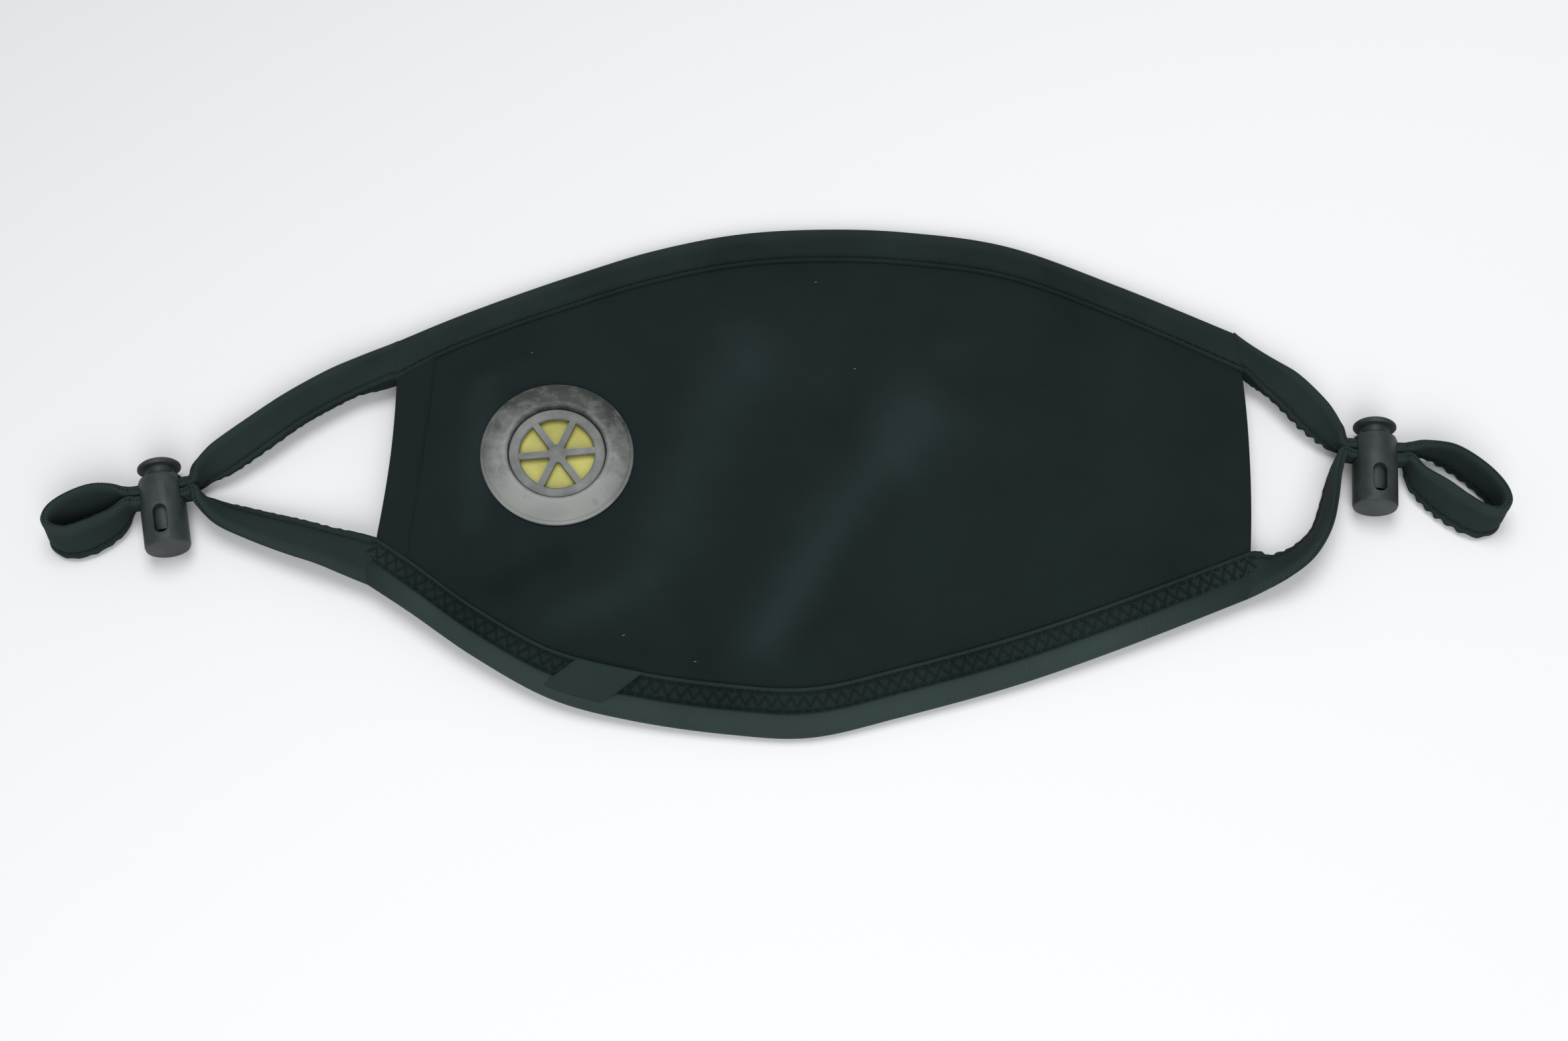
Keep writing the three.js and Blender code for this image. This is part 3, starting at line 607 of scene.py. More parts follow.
def edge_points(top, u, inset, lift):
    """Points beside the cloth's edge: inset along the cloth, lift off its middle."""
    u, inset, lift = np.broadcast_arrays(u, inset, lift)
    height = np.linalg.norm(cloth_points(u, 0.0) - cloth_points(u, 1.0), axis=-1)
    share = np.maximum(inset, 0) / height
    v = 1 - share if top else share
    edge, inner = cloth_points(u, float(top)), cloth_points(u, 0.99 if top else 0.01)
    past_edge = np.maximum(-inset, 0)[..., None] * unit(edge - inner)
    return cloth_points(u, v) + cloth_normals(u, v) * lift[..., None] + past_edge


def tape_outline(profile):
    """A closed U: upper leg, round back, lower leg, and the slot that holds the cloth."""
    inset, lift = profile[-1]
    angles = np.linspace(math.pi / 2, -math.pi / 2, BACK_STEPS + 2)[1:-1]
    back = [(inset - (inset + BEAD) * math.cos(a), lift * math.sin(a)) for a in angles]
    lower = [(i, -min(h, TAPE_TOP)) for i, h in profile[::-1]]
    width = profile[0][0]
    slot = [(width, -TOP_OF_CLOTH), (0, -TOP_OF_CLOTH), (0, TOP_OF_CLOTH), (width, TOP_OF_CLOTH)]
    return np.array([*profile, *back, *lower, *slot])


# Painted light on the ear loops' flat sides; the edge tapes' ends go over to the same value.
LOOP_FLAT_PAINTED_LIGHT, PAINTED_LIGHT_BLEND = 0.30, 0.12
KNOBS = {"height": 0.05, "pitch": 1.9, "place": 6.4, "width": 2.2}    # of the stitched band
BACK_INSET = 3.4                # the round back reaches this far in
LOW_LIFT, LIFT_SPAN = 1.05, 1.15         # lifts between a channel's bottom and a bead's top


def edge_tape(name, top, profile, ripple, back_painted_light):
    """Tape along one whole edge; ripple is its unevenness, and the last argument sets the painted
    highlight on its round back and raised beads.
    """
    outline = tape_outline(profile)
    u = np.linspace(0, 1, EDGE_STEPS)[:, None]
    inset, lift = outline[None, :, 0], outline[None, :, 1]
    run = u * EDGE_LENGTH
    slow = np.sin(run / 9.3 + 0.7) + 0.6 * np.sin(run / 4.1 + 2.0) + 0.4 * np.sin(run / 17.0)
    wave = 1 + ripple * slow * smoothstep(0, 6, inset + BEAD)
    band = np.exp(-((inset - KNOBS["place"]) / KNOBS["width"]) ** 2)
    bumps = KNOBS["height"] * np.sin(2 * math.pi * run / KNOBS["pitch"]) * band
    points = edge_points(top, u, inset, lift * wave + bumps * np.sign(lift))
    uv = np.stack(np.broadcast_arrays(run, running_length(outline)[None, :]), -1).reshape(-1, 2)
    # Painted highlight on the round back and the raised beads, and painted shade in the channels
    # between them.
    high = np.clip((np.abs(lift) - LOW_LIFT) / LIFT_SPAN, 0, 1)
    wear_and_painted_light = np.where(inset < BACK_INSET, back_painted_light, 0.72 * back_painted_light * high)
    share = smoothstep(0, PAINTED_LIGHT_BLEND, np.minimum(u, 1 - u))
    painted_light_shade = LOOP_FLAT_PAINTED_LIGHT + (np.broadcast_to(wear_and_painted_light, points.shape[:2]) - LOOP_FLAT_PAINTED_LIGHT) * share
    return make_piece(name, points.reshape(-1, 3), ring_faces(EDGE_STEPS, len(outline)),
                      tape_cloth, uv, painted_light_shade)


# The chin tape's round back gets more painted highlight than the nose tape's, as it faces the near
# lamp.
nose_tape = edge_tape("nose_edge_tape", True, NOSE_PROFILE, 0.020, 0.30)
chin_tape = edge_tape("chin_edge_tape", False, CHIN_PROFILE, 0.034, 0.85)
print("edge tapes:", len(nose_tape.data.polygons), "and", len(chin_tape.data.polygons), "faces")

# %% [markdown]
# ## Where the tape's ends meet
# The tape goes round the mask in one strip, and its free end is laid slanting over its own start
# on the chin edge. It is a small flat tab with soft edges, so one short sweep is enough.

# %% Tape end
OVERLAP = {"start": 0.283, "length": 0.077, "slant": 0.0052, "steps": 40}
# An even painted light on the raised tab.
OVERLAP_PAINTED_LIGHT = 0.5


def tape_end():
    inset = np.array([0.7, 0.9, 1.5, 3.0, 5.0, 7.0, 8.6, 9.1, 9.3])
    lift = TAPE_TOP + TAPE * np.array([0.2, 0.6, 0.9, 0.9, 0.7, 0.7, 0.9, 0.6, 0.2])
    foot = TAPE_TOP - 0.3
    inset = np.concatenate([inset, inset[::-1]])[None, :]
    lift = np.concatenate([lift, np.full(len(lift), foot)])[None, :]
    t = np.linspace(0, 1, OVERLAP["steps"])[:, None]
    ends = 0.25 + 0.75 * np.sqrt(np.clip(1 - np.abs(2 * t - 1) ** 14, 0, 1))
    u = OVERLAP["start"] + OVERLAP["length"] * t + OVERLAP["slant"] * inset
    points = edge_points(False, u, inset, foot + (lift - foot) * ends)
    run = t * OVERLAP["length"] * EDGE_LENGTH
    uv = np.stack(np.broadcast_arrays(run, inset), -1).reshape(-1, 2)
    return make_piece("tape_end", points.reshape(-1, 3), ring_faces(*points.shape[:2]),
                      tape_cloth, uv, np.full(points.shape[:2], OVERLAP_PAINTED_LIGHT))


overlap_piece = tape_end()
print("tape end:", len(overlap_piece.data.polygons), "faces")

# %% [markdown]
# ## Ear loops
# Past the corners of the cloth the folded tape goes on alone. It runs through the cord lock,
# round a small loop and back. It twists as it goes, so each route is a table of places with the
# tape's width, thickness and tilt. A flat strap is modelled directly, because a simulation or a
# remesh would round off its thin edges.

# %% Ear loop routes
LOCK = {"length": 19.0, "depth": 1.3, "radius": 5.4}
LOCK_AXIS = LOCK["radius"] * math.cos(math.pi / 24)
LOCKS = {"left": {"x": -147.0, "y": -9.9, "lean": 12.5},
         "right": {"x": 142.4, "y": 0.8, "lean": -5.8}}
RUN = {"thick": 2.4, "gap": 0.4}
# Places along a lock's cross hole, with the width that the tape is squeezed to there.
SQUEEZE = ((-8, 6.8), (-5.2, 4.6), (5.2, 4.6), (8, 6.8))
ROUTE_COLUMNS = ("x", "y", "z", "width", "thick", "tilt", "skew")    # a skew of 0 is left out
LEFT_OUT = [
    (-97.3, 40.9, 5.6, 11.2, 2.4, 6, -29), (-104.5, 37.4, 5.2, 10, 2.1, 0),
    (-112.0, 33.4, 5.0, 10, 2.0, 0), (-121.0, 27.4, 5.0, 10, 2.0, 0),
    (-130.0, 20.0, 5.0, 10, 2.0, -4), (-136.4, 14.6, 5.0, 9.2, 2.1, -16),
    (-140.6, 10.8, 5.2, 7.0, 2.3, -50)]
LEFT_SMALL = [
    (-161.2, 3.7, 5.3, 8.6, 2.2, -70), (-166.0, 2.9, 5.3, 10, 2.0, -63),
    (-170.9, 1.0, 5.3, 10, 2.0, -66), (-174.8, -1.4, 5.3, 10, 2.0, -78),
    (-176.3, -4.2, 5.3, 10, 2.0, -92), (-174.8, -6.8, 5.3, 10, 2.0, -105),
    (-171.0, -8.0, 5.3, 10, 2.0, -114), (-165.8, -6.4, 5.3, 10, 2.0, -117),
    (-160.6, -2.8, 5.3, 8.8, 2.2, -110)]
LEFT_HOME = [
    (-139.6, 2.6, 5.2, 6.4, 2.3, -58), (-134.5, -0.6, 5.0, 7.8, 2.2, -30),
    (-127.0, -3.4, 5.0, 8.8, 2.1, -18), (-118.0, -6.4, 5.4, 9.8, 2.0, -10),
    (-108.0, -9.9, 6.4, 10, 2.1, -4), (-99.3, -13.6, 7.6, 10.6, 2.4, 0, 24)]
RIGHT_OUT = [
    (111.7, -17.0, 6.4, 9.2, 2.4, -6, -20), (117.4, -14.6, 5.8, 8.8, 2.3, -30),
    (123.6, -10.8, 5.5, 9.2, 2.2, -52), (128.6, -4.8, 5.3, 9.2, 2.1, -70),
    (131.4, 2.6, 5.2, 9.0, 2.1, -78), (133.4, 9.6, 5.3, 7.0, 2.3, -84)]
RIGHT_SMALL = [
    (153.6, 9.0, 5.3, 8.0, 2.2, -112), (158.0, 4.4, 5.3, 10, 2.0, -120),
    (162.6, 0.4, 5.3, 10, 2.0, -122), (167.2, -2.3, 5.3, 10, 2.0, -116),
    (171.4, -2.0, 5.3, 10, 2.0, -100), (173.2, 1.2, 5.3, 10, 2.0, -88),
    (171.8, 5.4, 5.3, 10, 2.0, -82), (167.6, 10.4, 5.3, 10, 2.0, -80),
    (161.8, 14.8, 5.3, 9.6, 2.0, -82), (156.0, 16.6, 5.4, 7.0, 2.2, -88)]
RIGHT_HOME = [
    (133.6, 21.0, 5.3, 7.6, 2.2, -46), (129.8, 26.4, 5.1, 9.6, 2.0, -16),
    (124.8, 32.8, 5.0, 10, 2.0, -6), (119.0, 38.4, 5.2, 9.4, 2.1, -6),
    (114.3, 43.1, 5.8, 10.2, 2.4, 4, 34)]


def crossing(lock, depth, heading):
    """The straight run of the tape through a lock's cross hole."""
    along = LOCK["length"] - depth
    c, s = math.cos(math.radians(lock["lean"])), math.sin(math.radians(lock["lean"]))
    return [(lock["x"] - s * along + c * off * heading, lock["y"] + c * along + s * off * heading,
             LOCK_AXIS, width, RUN["thick"], -90) for off, width in SQUEEZE]


# %% Ear loop sweep
ROUTE_STEPS = 26                # steps between two rows of a route
SCALLOP = 3.0                   # the sewn edge puckers about once in this length
# Section of the folded tape, as shares of its width and thickness: back at -0.5, sewn edge at 0.5.
LOOP_TOP = [(-0.50, 0.12), (-0.48, 0.34), (-0.43, 0.48), (-0.34, 0.50), (-0.22, 0.45),
            (-0.05, 0.46), (0.15, 0.44), (0.28, 0.32), (0.33, 0.18), (0.38, 0.34), (0.45, 0.40),
            (0.49, 0.30), (0.50, 0.10)]


def route_frames(rows):
    """Middle, across and face directions along a route, with its width and thickness."""
    values = table(ROUTE_COLUMNS, rows)
    t = np.linspace(0, 1, (len(rows) - 1) * ROUTE_STEPS + 1)
    part = {name: column(numbers, t) for name, numbers in values.items()}
    place = np.stack([part["x"], part["y"], part["z"]], -1)
    forward = unit(np.gradient(place, axis=0))
    side = unit(np.cross([0.0, 0.0, 1.0], forward))
    up = np.cross(forward, side)
    tilt, skew = np.radians(part["tilt"])[:, None], np.radians(part["skew"])[:, None]
    across = side * np.cos(tilt) + up * np.sin(tilt)
    face = np.cross(forward, across)
    across = across * np.cos(skew) + np.cross(face, across) * np.sin(skew)
    return {"place": place, "forward": forward, "across": across, "face": face,
            "width": part["width"], "thick": part["thick"],
            "run": running_length(place)}


def loop_rows(out, small, home, lock, heading):
    first = LOCK["depth"] + 0.3 + RUN["thick"] / 2
    second = first + RUN["thick"] + RUN["gap"]
    going, coming = (first, second) if heading < 0 else (second, first)
    return [*out, *crossing(lock, going, heading), *small, *crossing(lock, coming, -heading), *home]


BLEND_LENGTH = 13.0             # the strap takes over from the tape's own form in this length
TUCK = 0.6                      # how far the strap's end goes in under the tape
SQUEEZED, FREE = 6.2, 8.2       # widths at which the tape has no soft puckers, and all of them
FLAT_POINT = 4                  # a point of the section on its flat side
BACK_PAINTED_HIGHLIGHT = 0.50


def tape_section(top, u, outline):
    """The strap's section as the tape on the cloth has it at one of its ends."""
    profile = np.array(NOSE_PROFILE if top else CHIN_PROFILE)[::-1]
    width = profile[-1, 0]
    inset = -BEAD + (outline[:, 0] + 0.5) * (BEAD + width - 0.15)
    known = np.concatenate([[-BEAD, -BEAD * 0.8, -BEAD * 0.4], profile[:, 0]])
    lifts = np.concatenate([[0.5, 1.25, 1.75], profile[:, 1]])
    lift = np.interp(inset, known, lifts) * np.sign(outline[:, 1])
    lower = np.maximum(lift, -TAPE_TOP)
    return edge_points(top, np.full(len(inset), u), inset, lower)


def ear_loop(name, route, corner, first_top, pucker_size, blends):
    """The strap from one corner of the cloth to the other. corner is the cloth's end, 0 or 1."""
    outline = np.array([*LOOP_TOP, *[(w, -h) for w, h in LOOP_TOP[::-1]]])
    w, h = outline[None, :, 0], outline[None, :, 1]
    run = route["run"][:, None]
    free = smoothstep(SQUEEZED, FREE, route["width"])[:, None]
    sewn = smoothstep(0.25, 0.50, w) * free
    drift = 1 + 0.45 * np.sin(run / 5.3 + 0.4)
    pucker = pucker_size * drift * np.sin(2 * math.pi * run / SCALLOP + 0.8 * np.sin(run / 3.7))
    offset = w * route["width"][:, None] + sewn * (pucker + 0.05 * np.sin(run / 0.31))
    ripple = 1 + 0.07 * free * np.sin(run / 2.6 + 2 * w) * smoothstep(-0.3, 0.3, w)
    height = h * route["thick"][:, None] * ripple
    points = (route["place"][:, None, :] + route["across"][:, None, :] * offset[..., None]
              + route["face"][:, None, :] * height[..., None])
    ends = ((0, 1, first_top, blends[0]), (-1, -1, not first_top, blends[1]))
    for row, heading, top, blend in ends:
        section = tape_section(top, corner, outline)
        last, ring = len(LOOP_TOP) - 1, points[row]
        if np.dot(section[0] - section[last], ring[0] - ring[last]) < 0:
            section = section[::-1]
        opposite = -1 - FLAT_POINT
        if np.dot(section[FLAT_POINT] - section[opposite], ring[FLAT_POINT] - ring[opposite]) < 0:
            section = section[::-1][np.r_[last + 1:len(outline), :last + 1]]
        away = run[:, 0] if heading > 0 else run[-1, 0] - run[:, 0]
        share = (1 - smoothstep(0, blend, away))[:, None, None]
        outward = route["forward"][row] * heading
        grown = section[None] + outward * (away - TUCK)[:, None, None]
        points = points * (1 - share) + grown * share
    around = running_length(outline * [10, 2])[None, :]      # the tape is about 10 by 2 mm
    uv = np.stack(np.broadcast_arrays(run, around), -1).reshape(-1, 2)
    # Painted highlight on the tape's round back, painted light on its flat sides, and painted shade on
    # its thin edges.
    flat_side = np.where(np.abs(h) > 0.30, LOOP_FLAT_PAINTED_LIGHT, 0.0)
    painted_light_shade = np.broadcast_to(np.where(w < -0.30, BACK_PAINTED_HIGHLIGHT, flat_side), points.shape[:2])
    return make_piece(name, points.reshape(-1, 3), ring_faces(len(points), len(outline)),
                      tape_cloth, uv, painted_light_shade)


left_route = route_frames(loop_rows(LEFT_OUT, LEFT_SMALL, LEFT_HOME, LOCKS["left"], -1))
right_route = route_frames(loop_rows(RIGHT_OUT, RIGHT_SMALL, RIGHT_HOME, LOCKS["right"], 1))
left_loop = ear_loop("ear_loop_tape_left", left_route, 0.0, True, 0.09,
                     (BLEND_LENGTH, BLEND_LENGTH))
right_loop = ear_loop("ear_loop_tape_right", right_route, 1.0, False, 0.26,
                      (7.0, BLEND_LENGTH))
print("ear loops:", round(left_route["run"][-1]), "and", round(right_route["run"][-1]), "mm long")

# %% [markdown]
# ## Stitches
# Sewn lines hold the tape and the hem. Each stitch is a short fat bit of thread that dips into the
# cloth at both ends. They repeat hundreds of times along a path, which is what Geometry Nodes are
# good at: a path is cut into even steps, a small thread is set on each step, and all of them are
# made real at the end. Modelling them one by one would give the same picture for far more work.

# %% Node tree helpers
def node_group(name, inputs, output):
    """A new geometry node tree with its named inputs and one output."""
    tree = bpy.data.node_groups.new(name, "GeometryNodeTree")
    for socket, kind in inputs.items():
        tree.interface.new_socket(socket, in_out="INPUT", socket_type=f"NodeSocket{kind}")
    tree.interface.new_socket(output, in_out="OUTPUT", socket_type="NodeSocketGeometry")
    given, result = tree.nodes.new("NodeGroupInput"), tree.nodes.new("NodeGroupOutput")
    return tree, given.outputs, result.inputs[output]


def scatter(tree, wires, finish, result):
    """Sets a shape on each point, makes them all real and gives them their finish."""
    set_on = wired(tree, "GeometryNodeInstanceOnPoints", wires)
    real = wired(tree, "GeometryNodeRealizeInstances", {"Geometry": set_on.outputs["Instances"]})
    finished = wired(tree, "GeometryNodeSetMaterial", {
        "Geometry": real.outputs["Geometry"], "Material": finish})
    link(tree, finished.outputs["Geometry"], result)


# %% Node tree for stitches
def stitch_tree():
    sizes = dict.fromkeys(("Pitch", "Length", "Thickness", "Slant"), "Float")
    tree, given, result = node_group("stitches_on_path", {
        "Path": "Geometry", **sizes, "Thread": "Material"}, "Stitches")
    curve = wired(tree, "GeometryNodeMeshToCurve", {"Mesh": given["Path"]})
    even = wired(tree, "GeometryNodeResampleCurve", {
        "Curve": curve.outputs["Curve"], "Length": given["Pitch"]}, mode="LENGTH")
    bead = node(tree, "GeometryNodeMeshUVSphere",
                inputs={"Segments": 8, "Rings": 5, "Radius": 0.5})
    size = wired(tree, "ShaderNodeCombineXYZ", {
        "X": given["Length"], "Y": given["Thickness"], "Z": given["Thickness"]})

    # Each stitch lies along the path and faces out of the cloth.
    tangent = node(tree, "GeometryNodeInputTangent").outputs["Tangent"]
    up = node(tree, "GeometryNodeInputNamedAttribute", data_type="FLOAT_VECTOR",
              inputs={"Name": "up"}).outputs["Attribute"]
    along = wired(tree, "FunctionNodeAlignRotationToVector", {"Vector": tangent}, axis="X")
    upright = wired(tree, "FunctionNodeAlignRotationToVector", {
        "Rotation": along.outputs["Rotation"], "Vector": up}, axis="Z", pivot_axis="X")

    # Every second stitch slants the other way.
    index = node(tree, "GeometryNodeInputIndex").outputs["Index"]
    odd = math_node(tree, "FLOORED_MODULO", index, 2)
    heading = math_node(tree, "MULTIPLY_ADD", odd, -2, 1)
    angle = math_node(tree, "MULTIPLY", heading, given["Slant"])
    turn = wired(tree, "FunctionNodeAxisAngleToRotation", {"Angle": angle},
                 inputs={"Axis": (0, 0, 1)})
    both = wired(tree, "FunctionNodeRotateRotation", {
        "Rotation": upright.outputs["Rotation"], "Rotate By": turn.outputs["Rotation"]},
        rotation_space="LOCAL")
    scatter(tree, {"Points": even.outputs["Curve"], "Instance": bead.outputs["Mesh"],
                   "Rotation": both.outputs["Rotation"], "Scale": size.outputs["Vector"]},
            given["Thread"], result)
    return tree


STITCHES = stitch_tree()
print("stitch tree:", len(STITCHES.nodes), "nodes")


# %% Sewing a path
def grow(name, base_mesh, tree, values):
    """Runs a node tree on a mesh and returns the result as a plain mesh object."""
    holder = bpy.data.objects.new(name + "_path", base_mesh)
    bpy.context.scene.collection.objects.link(holder)
    modifier = holder.modifiers.new("grow", "NODES")
    modifier.node_group = tree
    for socket in tree.interface.items_tree:
        if socket.in_out == "INPUT" and socket.name in values:
            modifier[socket.identifier] = values[socket.name]
    graph = bpy.context.evaluated_depsgraph_get()
    mesh = bpy.data.meshes.new_from_object(holder.evaluated_get(graph))
    bpy.data.objects.remove(holder)
    piece = bpy.data.objects.new(name, mesh)
    bpy.context.scene.collection.objects.link(piece)
    mesh.polygons.foreach_set("use_smooth", [True] * len(mesh.polygons))
    return piece


def sew(name, points, ups, pitch, length, thick, slant, finish):
    """A row of stitches along points in millimetres, lying flat against the surface."""
    path = bpy.data.meshes.new(name)
    edges = [(i, i + 1) for i in range(len(points) - 1)]
    path.from_pydata(((points + CENTRE) * MM).tolist(), edges, [])
    path.attributes.new("up", "FLOAT_VECTOR", "POINT").data.foreach_set(
        "vector", np.asarray(ups, np.float32).ravel())
    return grow(name, path, STITCHES, {
        "Pitch": pitch * MM, "Length": length * MM, "Thickness": thick * MM,
        "Slant": math.radians(slant), "Thread": finish})


def along_edge(top, inset, lift, steps=500):
    """A line of points beside the cloth's edge, with the directions out of the cloth."""
    u = np.linspace(0, 1, steps)
    points = edge_points(top, u, np.full(steps, inset), np.full(steps, lift))
    share = inset / np.linalg.norm(cloth_points(u, 0.0) - cloth_points(u, 1.0), axis=-1)
    return points, cloth_normals(u, 1 - share if top else share)


stitch_pieces = []
SEAMS = [   # name, nose edge or not, inset, lift, then pitch, length, thickness and slant
    ("stitches_nose_line", True, 9.1, 1.30, (2.4, 2.0, 0.42, 0)),
    ("stitches_chin_inner", False, 8.0, 1.28, (2.3, 1.8, 0.62, 14)),
    ("stitches_chin_outer", False, 4.5, 1.26, (2.3, 1.8, 0.62, 14)),
    ("stitches_chin_zigzag", False, 6.2, 1.46, (1.5, 3.0, 0.66, 58)),
]
HEM_STITCH, LOOP_STITCH, LINT_SPECK = (2.2, 1.9, 0.48, 0), (2.2, 1.8, 0.42, 0), (5.0, 0.34, 0.18, 0)
for name, top, inset, lift, stitch in SEAMS:
    stitch_pieces.append(sew(name, *along_edge(top, inset, lift), *stitch, tape_cloth))

seam_v = np.linspace(0.09, 0.90, 300)
seam_u = np.full(len(seam_v), np.interp(SEAM_PLACE, KNOWN_MM, KNOWN_U))
seam_up = cloth_normals(seam_u, seam_v)
seam_points = cloth_points(seam_u, seam_v) + seam_up * (CLOTH / 2 + 0.06)
stitch_pieces.append(sew("stitches_hem", seam_points, seam_up, *HEM_STITCH, tape_cloth))
print("stitches:", sum(len(p.data.polygons) for p in stitch_pieces), "faces")

# %% Stitches on the ear loops
ROW_ACROSS, ROW_LIFT = 0.33, 0.29        # shares of the tape's width and thickness
SHORTEST_ROW = 12                        # route steps

for side, route in (("left", left_route), ("right", right_route)):
    from_end = np.minimum(route["run"], route["run"][-1] - route["run"])
    keep = (route["width"] > 7.0) & (from_end > BLEND_LENGTH)
    for face_side, label in ((1, "front"), (-1, "back")):
        middle_of_row = (route["place"] + route["across"] * (ROW_ACROSS * route["width"])[:, None]
                         + route["face"] * (face_side * ROW_LIFT * route["thick"])[:, None])
        breaks = np.flatnonzero(np.diff(keep.astype(int))) + 1
        for number, part in enumerate(np.split(np.arange(len(keep)), breaks)):
            if keep[part[0]] and len(part) > SHORTEST_ROW:
                stitch_pieces.append(sew(
                    f"stitches_loop_{side}_{label}_{number}", middle_of_row[part],
                    route["face"][part] * face_side, *LOOP_STITCH, thread))
print("stitch pieces:", len(stitch_pieces))

# %% [markdown]
# ## The valve
# Everything on the exhale valve is round about one axis, so each part is one outline turned about
# that axis, as on a lathe. A Screw modifier could turn it, but here the points are placed
# directly. A small bevel softens each corner the way a moulded part is soft.

# %% Turning and bevelling
TURNS = 128
SAME_PLACE = 1e-7               # metres
CORNER, SHARP = math.radians(28), math.radians(38)   # angles that get a bevel, or a hard edge


def turned(name, outline, finish, place, sides=TURNS):
    """A closed outline of radius and height turned about Z, then set in its place."""
    angles = np.linspace(0, 2 * math.pi, sides, endpoint=False)
    radius, height = np.array(outline, float).T
    points = np.stack([np.outer(np.cos(angles), radius), np.outer(np.sin(angles), radius),
                       np.broadcast_to(height, (sides, len(height)))], -1)
    count = len(outline)
    faces = []
    for i in range(sides):
        for j in range(count):
            a, b = i * count + j, i * count + (j + 1) % count
            faces.append((a, b, (b + count) % (sides * count), (a + count) % (sides * count)))
    piece = make_piece(name, placed(points, place), faces, finish)
    edit_mesh(piece, close_axis)
    return piece


def close_axis(shape):
    """Merges the points that meet on the axis and turns all faces outwards."""
    bmesh.ops.remove_doubles(shape, verts=shape.verts, dist=SAME_PLACE)
    bmesh.ops.dissolve_degenerate(shape, edges=shape.edges, dist=SAME_PLACE)
    bmesh.ops.recalc_face_normals(shape, faces=shape.faces)
    turn_outwards(shape)


def apply_all(piece):
    """Replaces a piece's mesh by what its modifiers make of it."""
    graph = bpy.context.evaluated_depsgraph_get()
    mesh = bpy.data.meshes.new_from_object(piece.evaluated_get(graph))
    piece.modifiers.clear()
    piece.data = mesh
    return piece


def soften(piece, width, segments=3):
    """Rounds the sharp corners and shades the rest by angle."""
    bevel = piece.modifiers.new("soften", "BEVEL")
    bevel.width, bevel.segments, bevel.limit_method = width * MM, segments, "ANGLE"
    bevel.angle_limit = CORNER
    apply_all(piece)
    piece.data.polygons.foreach_set("use_smooth", [True] * len(piece.data.polygons))
    piece.data.set_sharp_from_angle(angle=SHARP)
    return piece


def combine(piece, other, operation):
    """Joins or cuts with another closed piece, which is used up."""
    step = piece.modifiers.new("combine", "BOOLEAN")
    step.operation, step.solver, step.object = operation, "EXACT", other
    apply_all(piece)
    bpy.data.objects.remove(other)
    return piece


# %% Flange, flap and back ring
INNER, COLLAR = 11.8, 12.4
FLANGE = [(INNER, -2.4), (COLLAR, -2.4), (COLLAR, 0.9), (17.5, 0.85), (18.3, 1.0), (18.35, 1.5),
          (18.1, 1.75), (17.7, 1.9), (17.5, 2.2), (16.9, 2.55), (15.0, 2.95), (13.2, 3.35),
          (12.5, 3.42), (12.0, 3.28), (INNER, 2.9)]
flange = soften(turned("valve_outer_ring", FLANGE, ring_grey, VALVE_PLACE), 0.16)
flap = soften(turned("valve_yellow_flap", [(0, -0.2), (10.8, -0.2), (10.8, 0.4), (0, 0.4)],
                     valve_yellow, VALVE_PLACE), 0.10)
print("flange:", len(flange.data.polygons), "faces")

# %% [markdown]
# ## The grille
# Six spokes meet in a small hub over the yellow flap. They repeat about the axis, so a node tree
# sets one spoke on each of six points and turns it by its share of the circle. The spokes are
# then joined with the ring and the hub, so that the grille is one clean solid like the moulding.

# %% Node tree for spokes
def spoke_tree():
    sizes = dict.fromkeys(("Reach", "Width", "Height", "Middle height", "First angle"), "Float")
    tree, given, result = node_group("spokes_round_hub", {
        "Base": "Geometry", "Count": "Int", **sizes, "Finish": "Material"}, "Spokes")
    size = wired(tree, "ShaderNodeCombineXYZ", {
        "X": given["Reach"], "Y": given["Width"], "Z": given["Height"]})
    middle = wired(tree, "ShaderNodeCombineXYZ", {
        "X": math_node(tree, "MULTIPLY", given["Reach"], 0.5), "Z": given["Middle height"]})
    bar = wired(tree, "GeometryNodeMeshCube", {"Size": size.outputs["Vector"]})
    moved = wired(tree, "GeometryNodeTransform", {
        "Geometry": bar.outputs["Mesh"], "Translation": middle.outputs["Vector"]})

    # Each spoke turns by its share of the circle.
    points = wired(tree, "GeometryNodePoints", {"Count": given["Count"]})
    index = node(tree, "GeometryNodeInputIndex").outputs["Index"]
    share = math_node(tree, "DIVIDE", index, given["Count"])
    angle = math_node(tree, "ADD", math_node(tree, "MULTIPLY", share, 2 * math.pi),
                      given["First angle"])
    turn = wired(tree, "ShaderNodeCombineXYZ", {"Z": angle})
    rotation = wired(tree, "FunctionNodeEulerToRotation", {"Euler": turn.outputs["Vector"]})
    scatter(tree, {"Points": points.outputs["Points"], "Instance": moved.outputs["Geometry"],
                   "Rotation": rotation.outputs["Rotation"]}, given["Finish"], result)
    return tree


SPOKES = spoke_tree()
print("spoke tree:", len(SPOKES.nodes), "nodes")

# %% Grille
OPENING, SPOKE, HUB = 9.0, 1.6, 2.3
metre_place = Matrix.Translation(Vector(CENTRE) * MM) @ (
    Matrix.Translation(VALVE_PLACE.translation * MM) @ VALVE_PLACE.to_3x3().to_4x4())


def spokes_round_axis(count, reach, width, height, middle_height, first):
    """Bars from the valve's axis outwards, evenly round it."""
    spokes = grow("spokes", bpy.data.meshes.new("no_base"), SPOKES, {
        "Count": count, "Reach": reach * MM, "Width": width * MM, "Height": height * MM,
        "Middle height": middle_height * MM, "First angle": math.radians(first),
        "Finish": valve_grey})
    spokes.data.transform(metre_place)
    return spokes


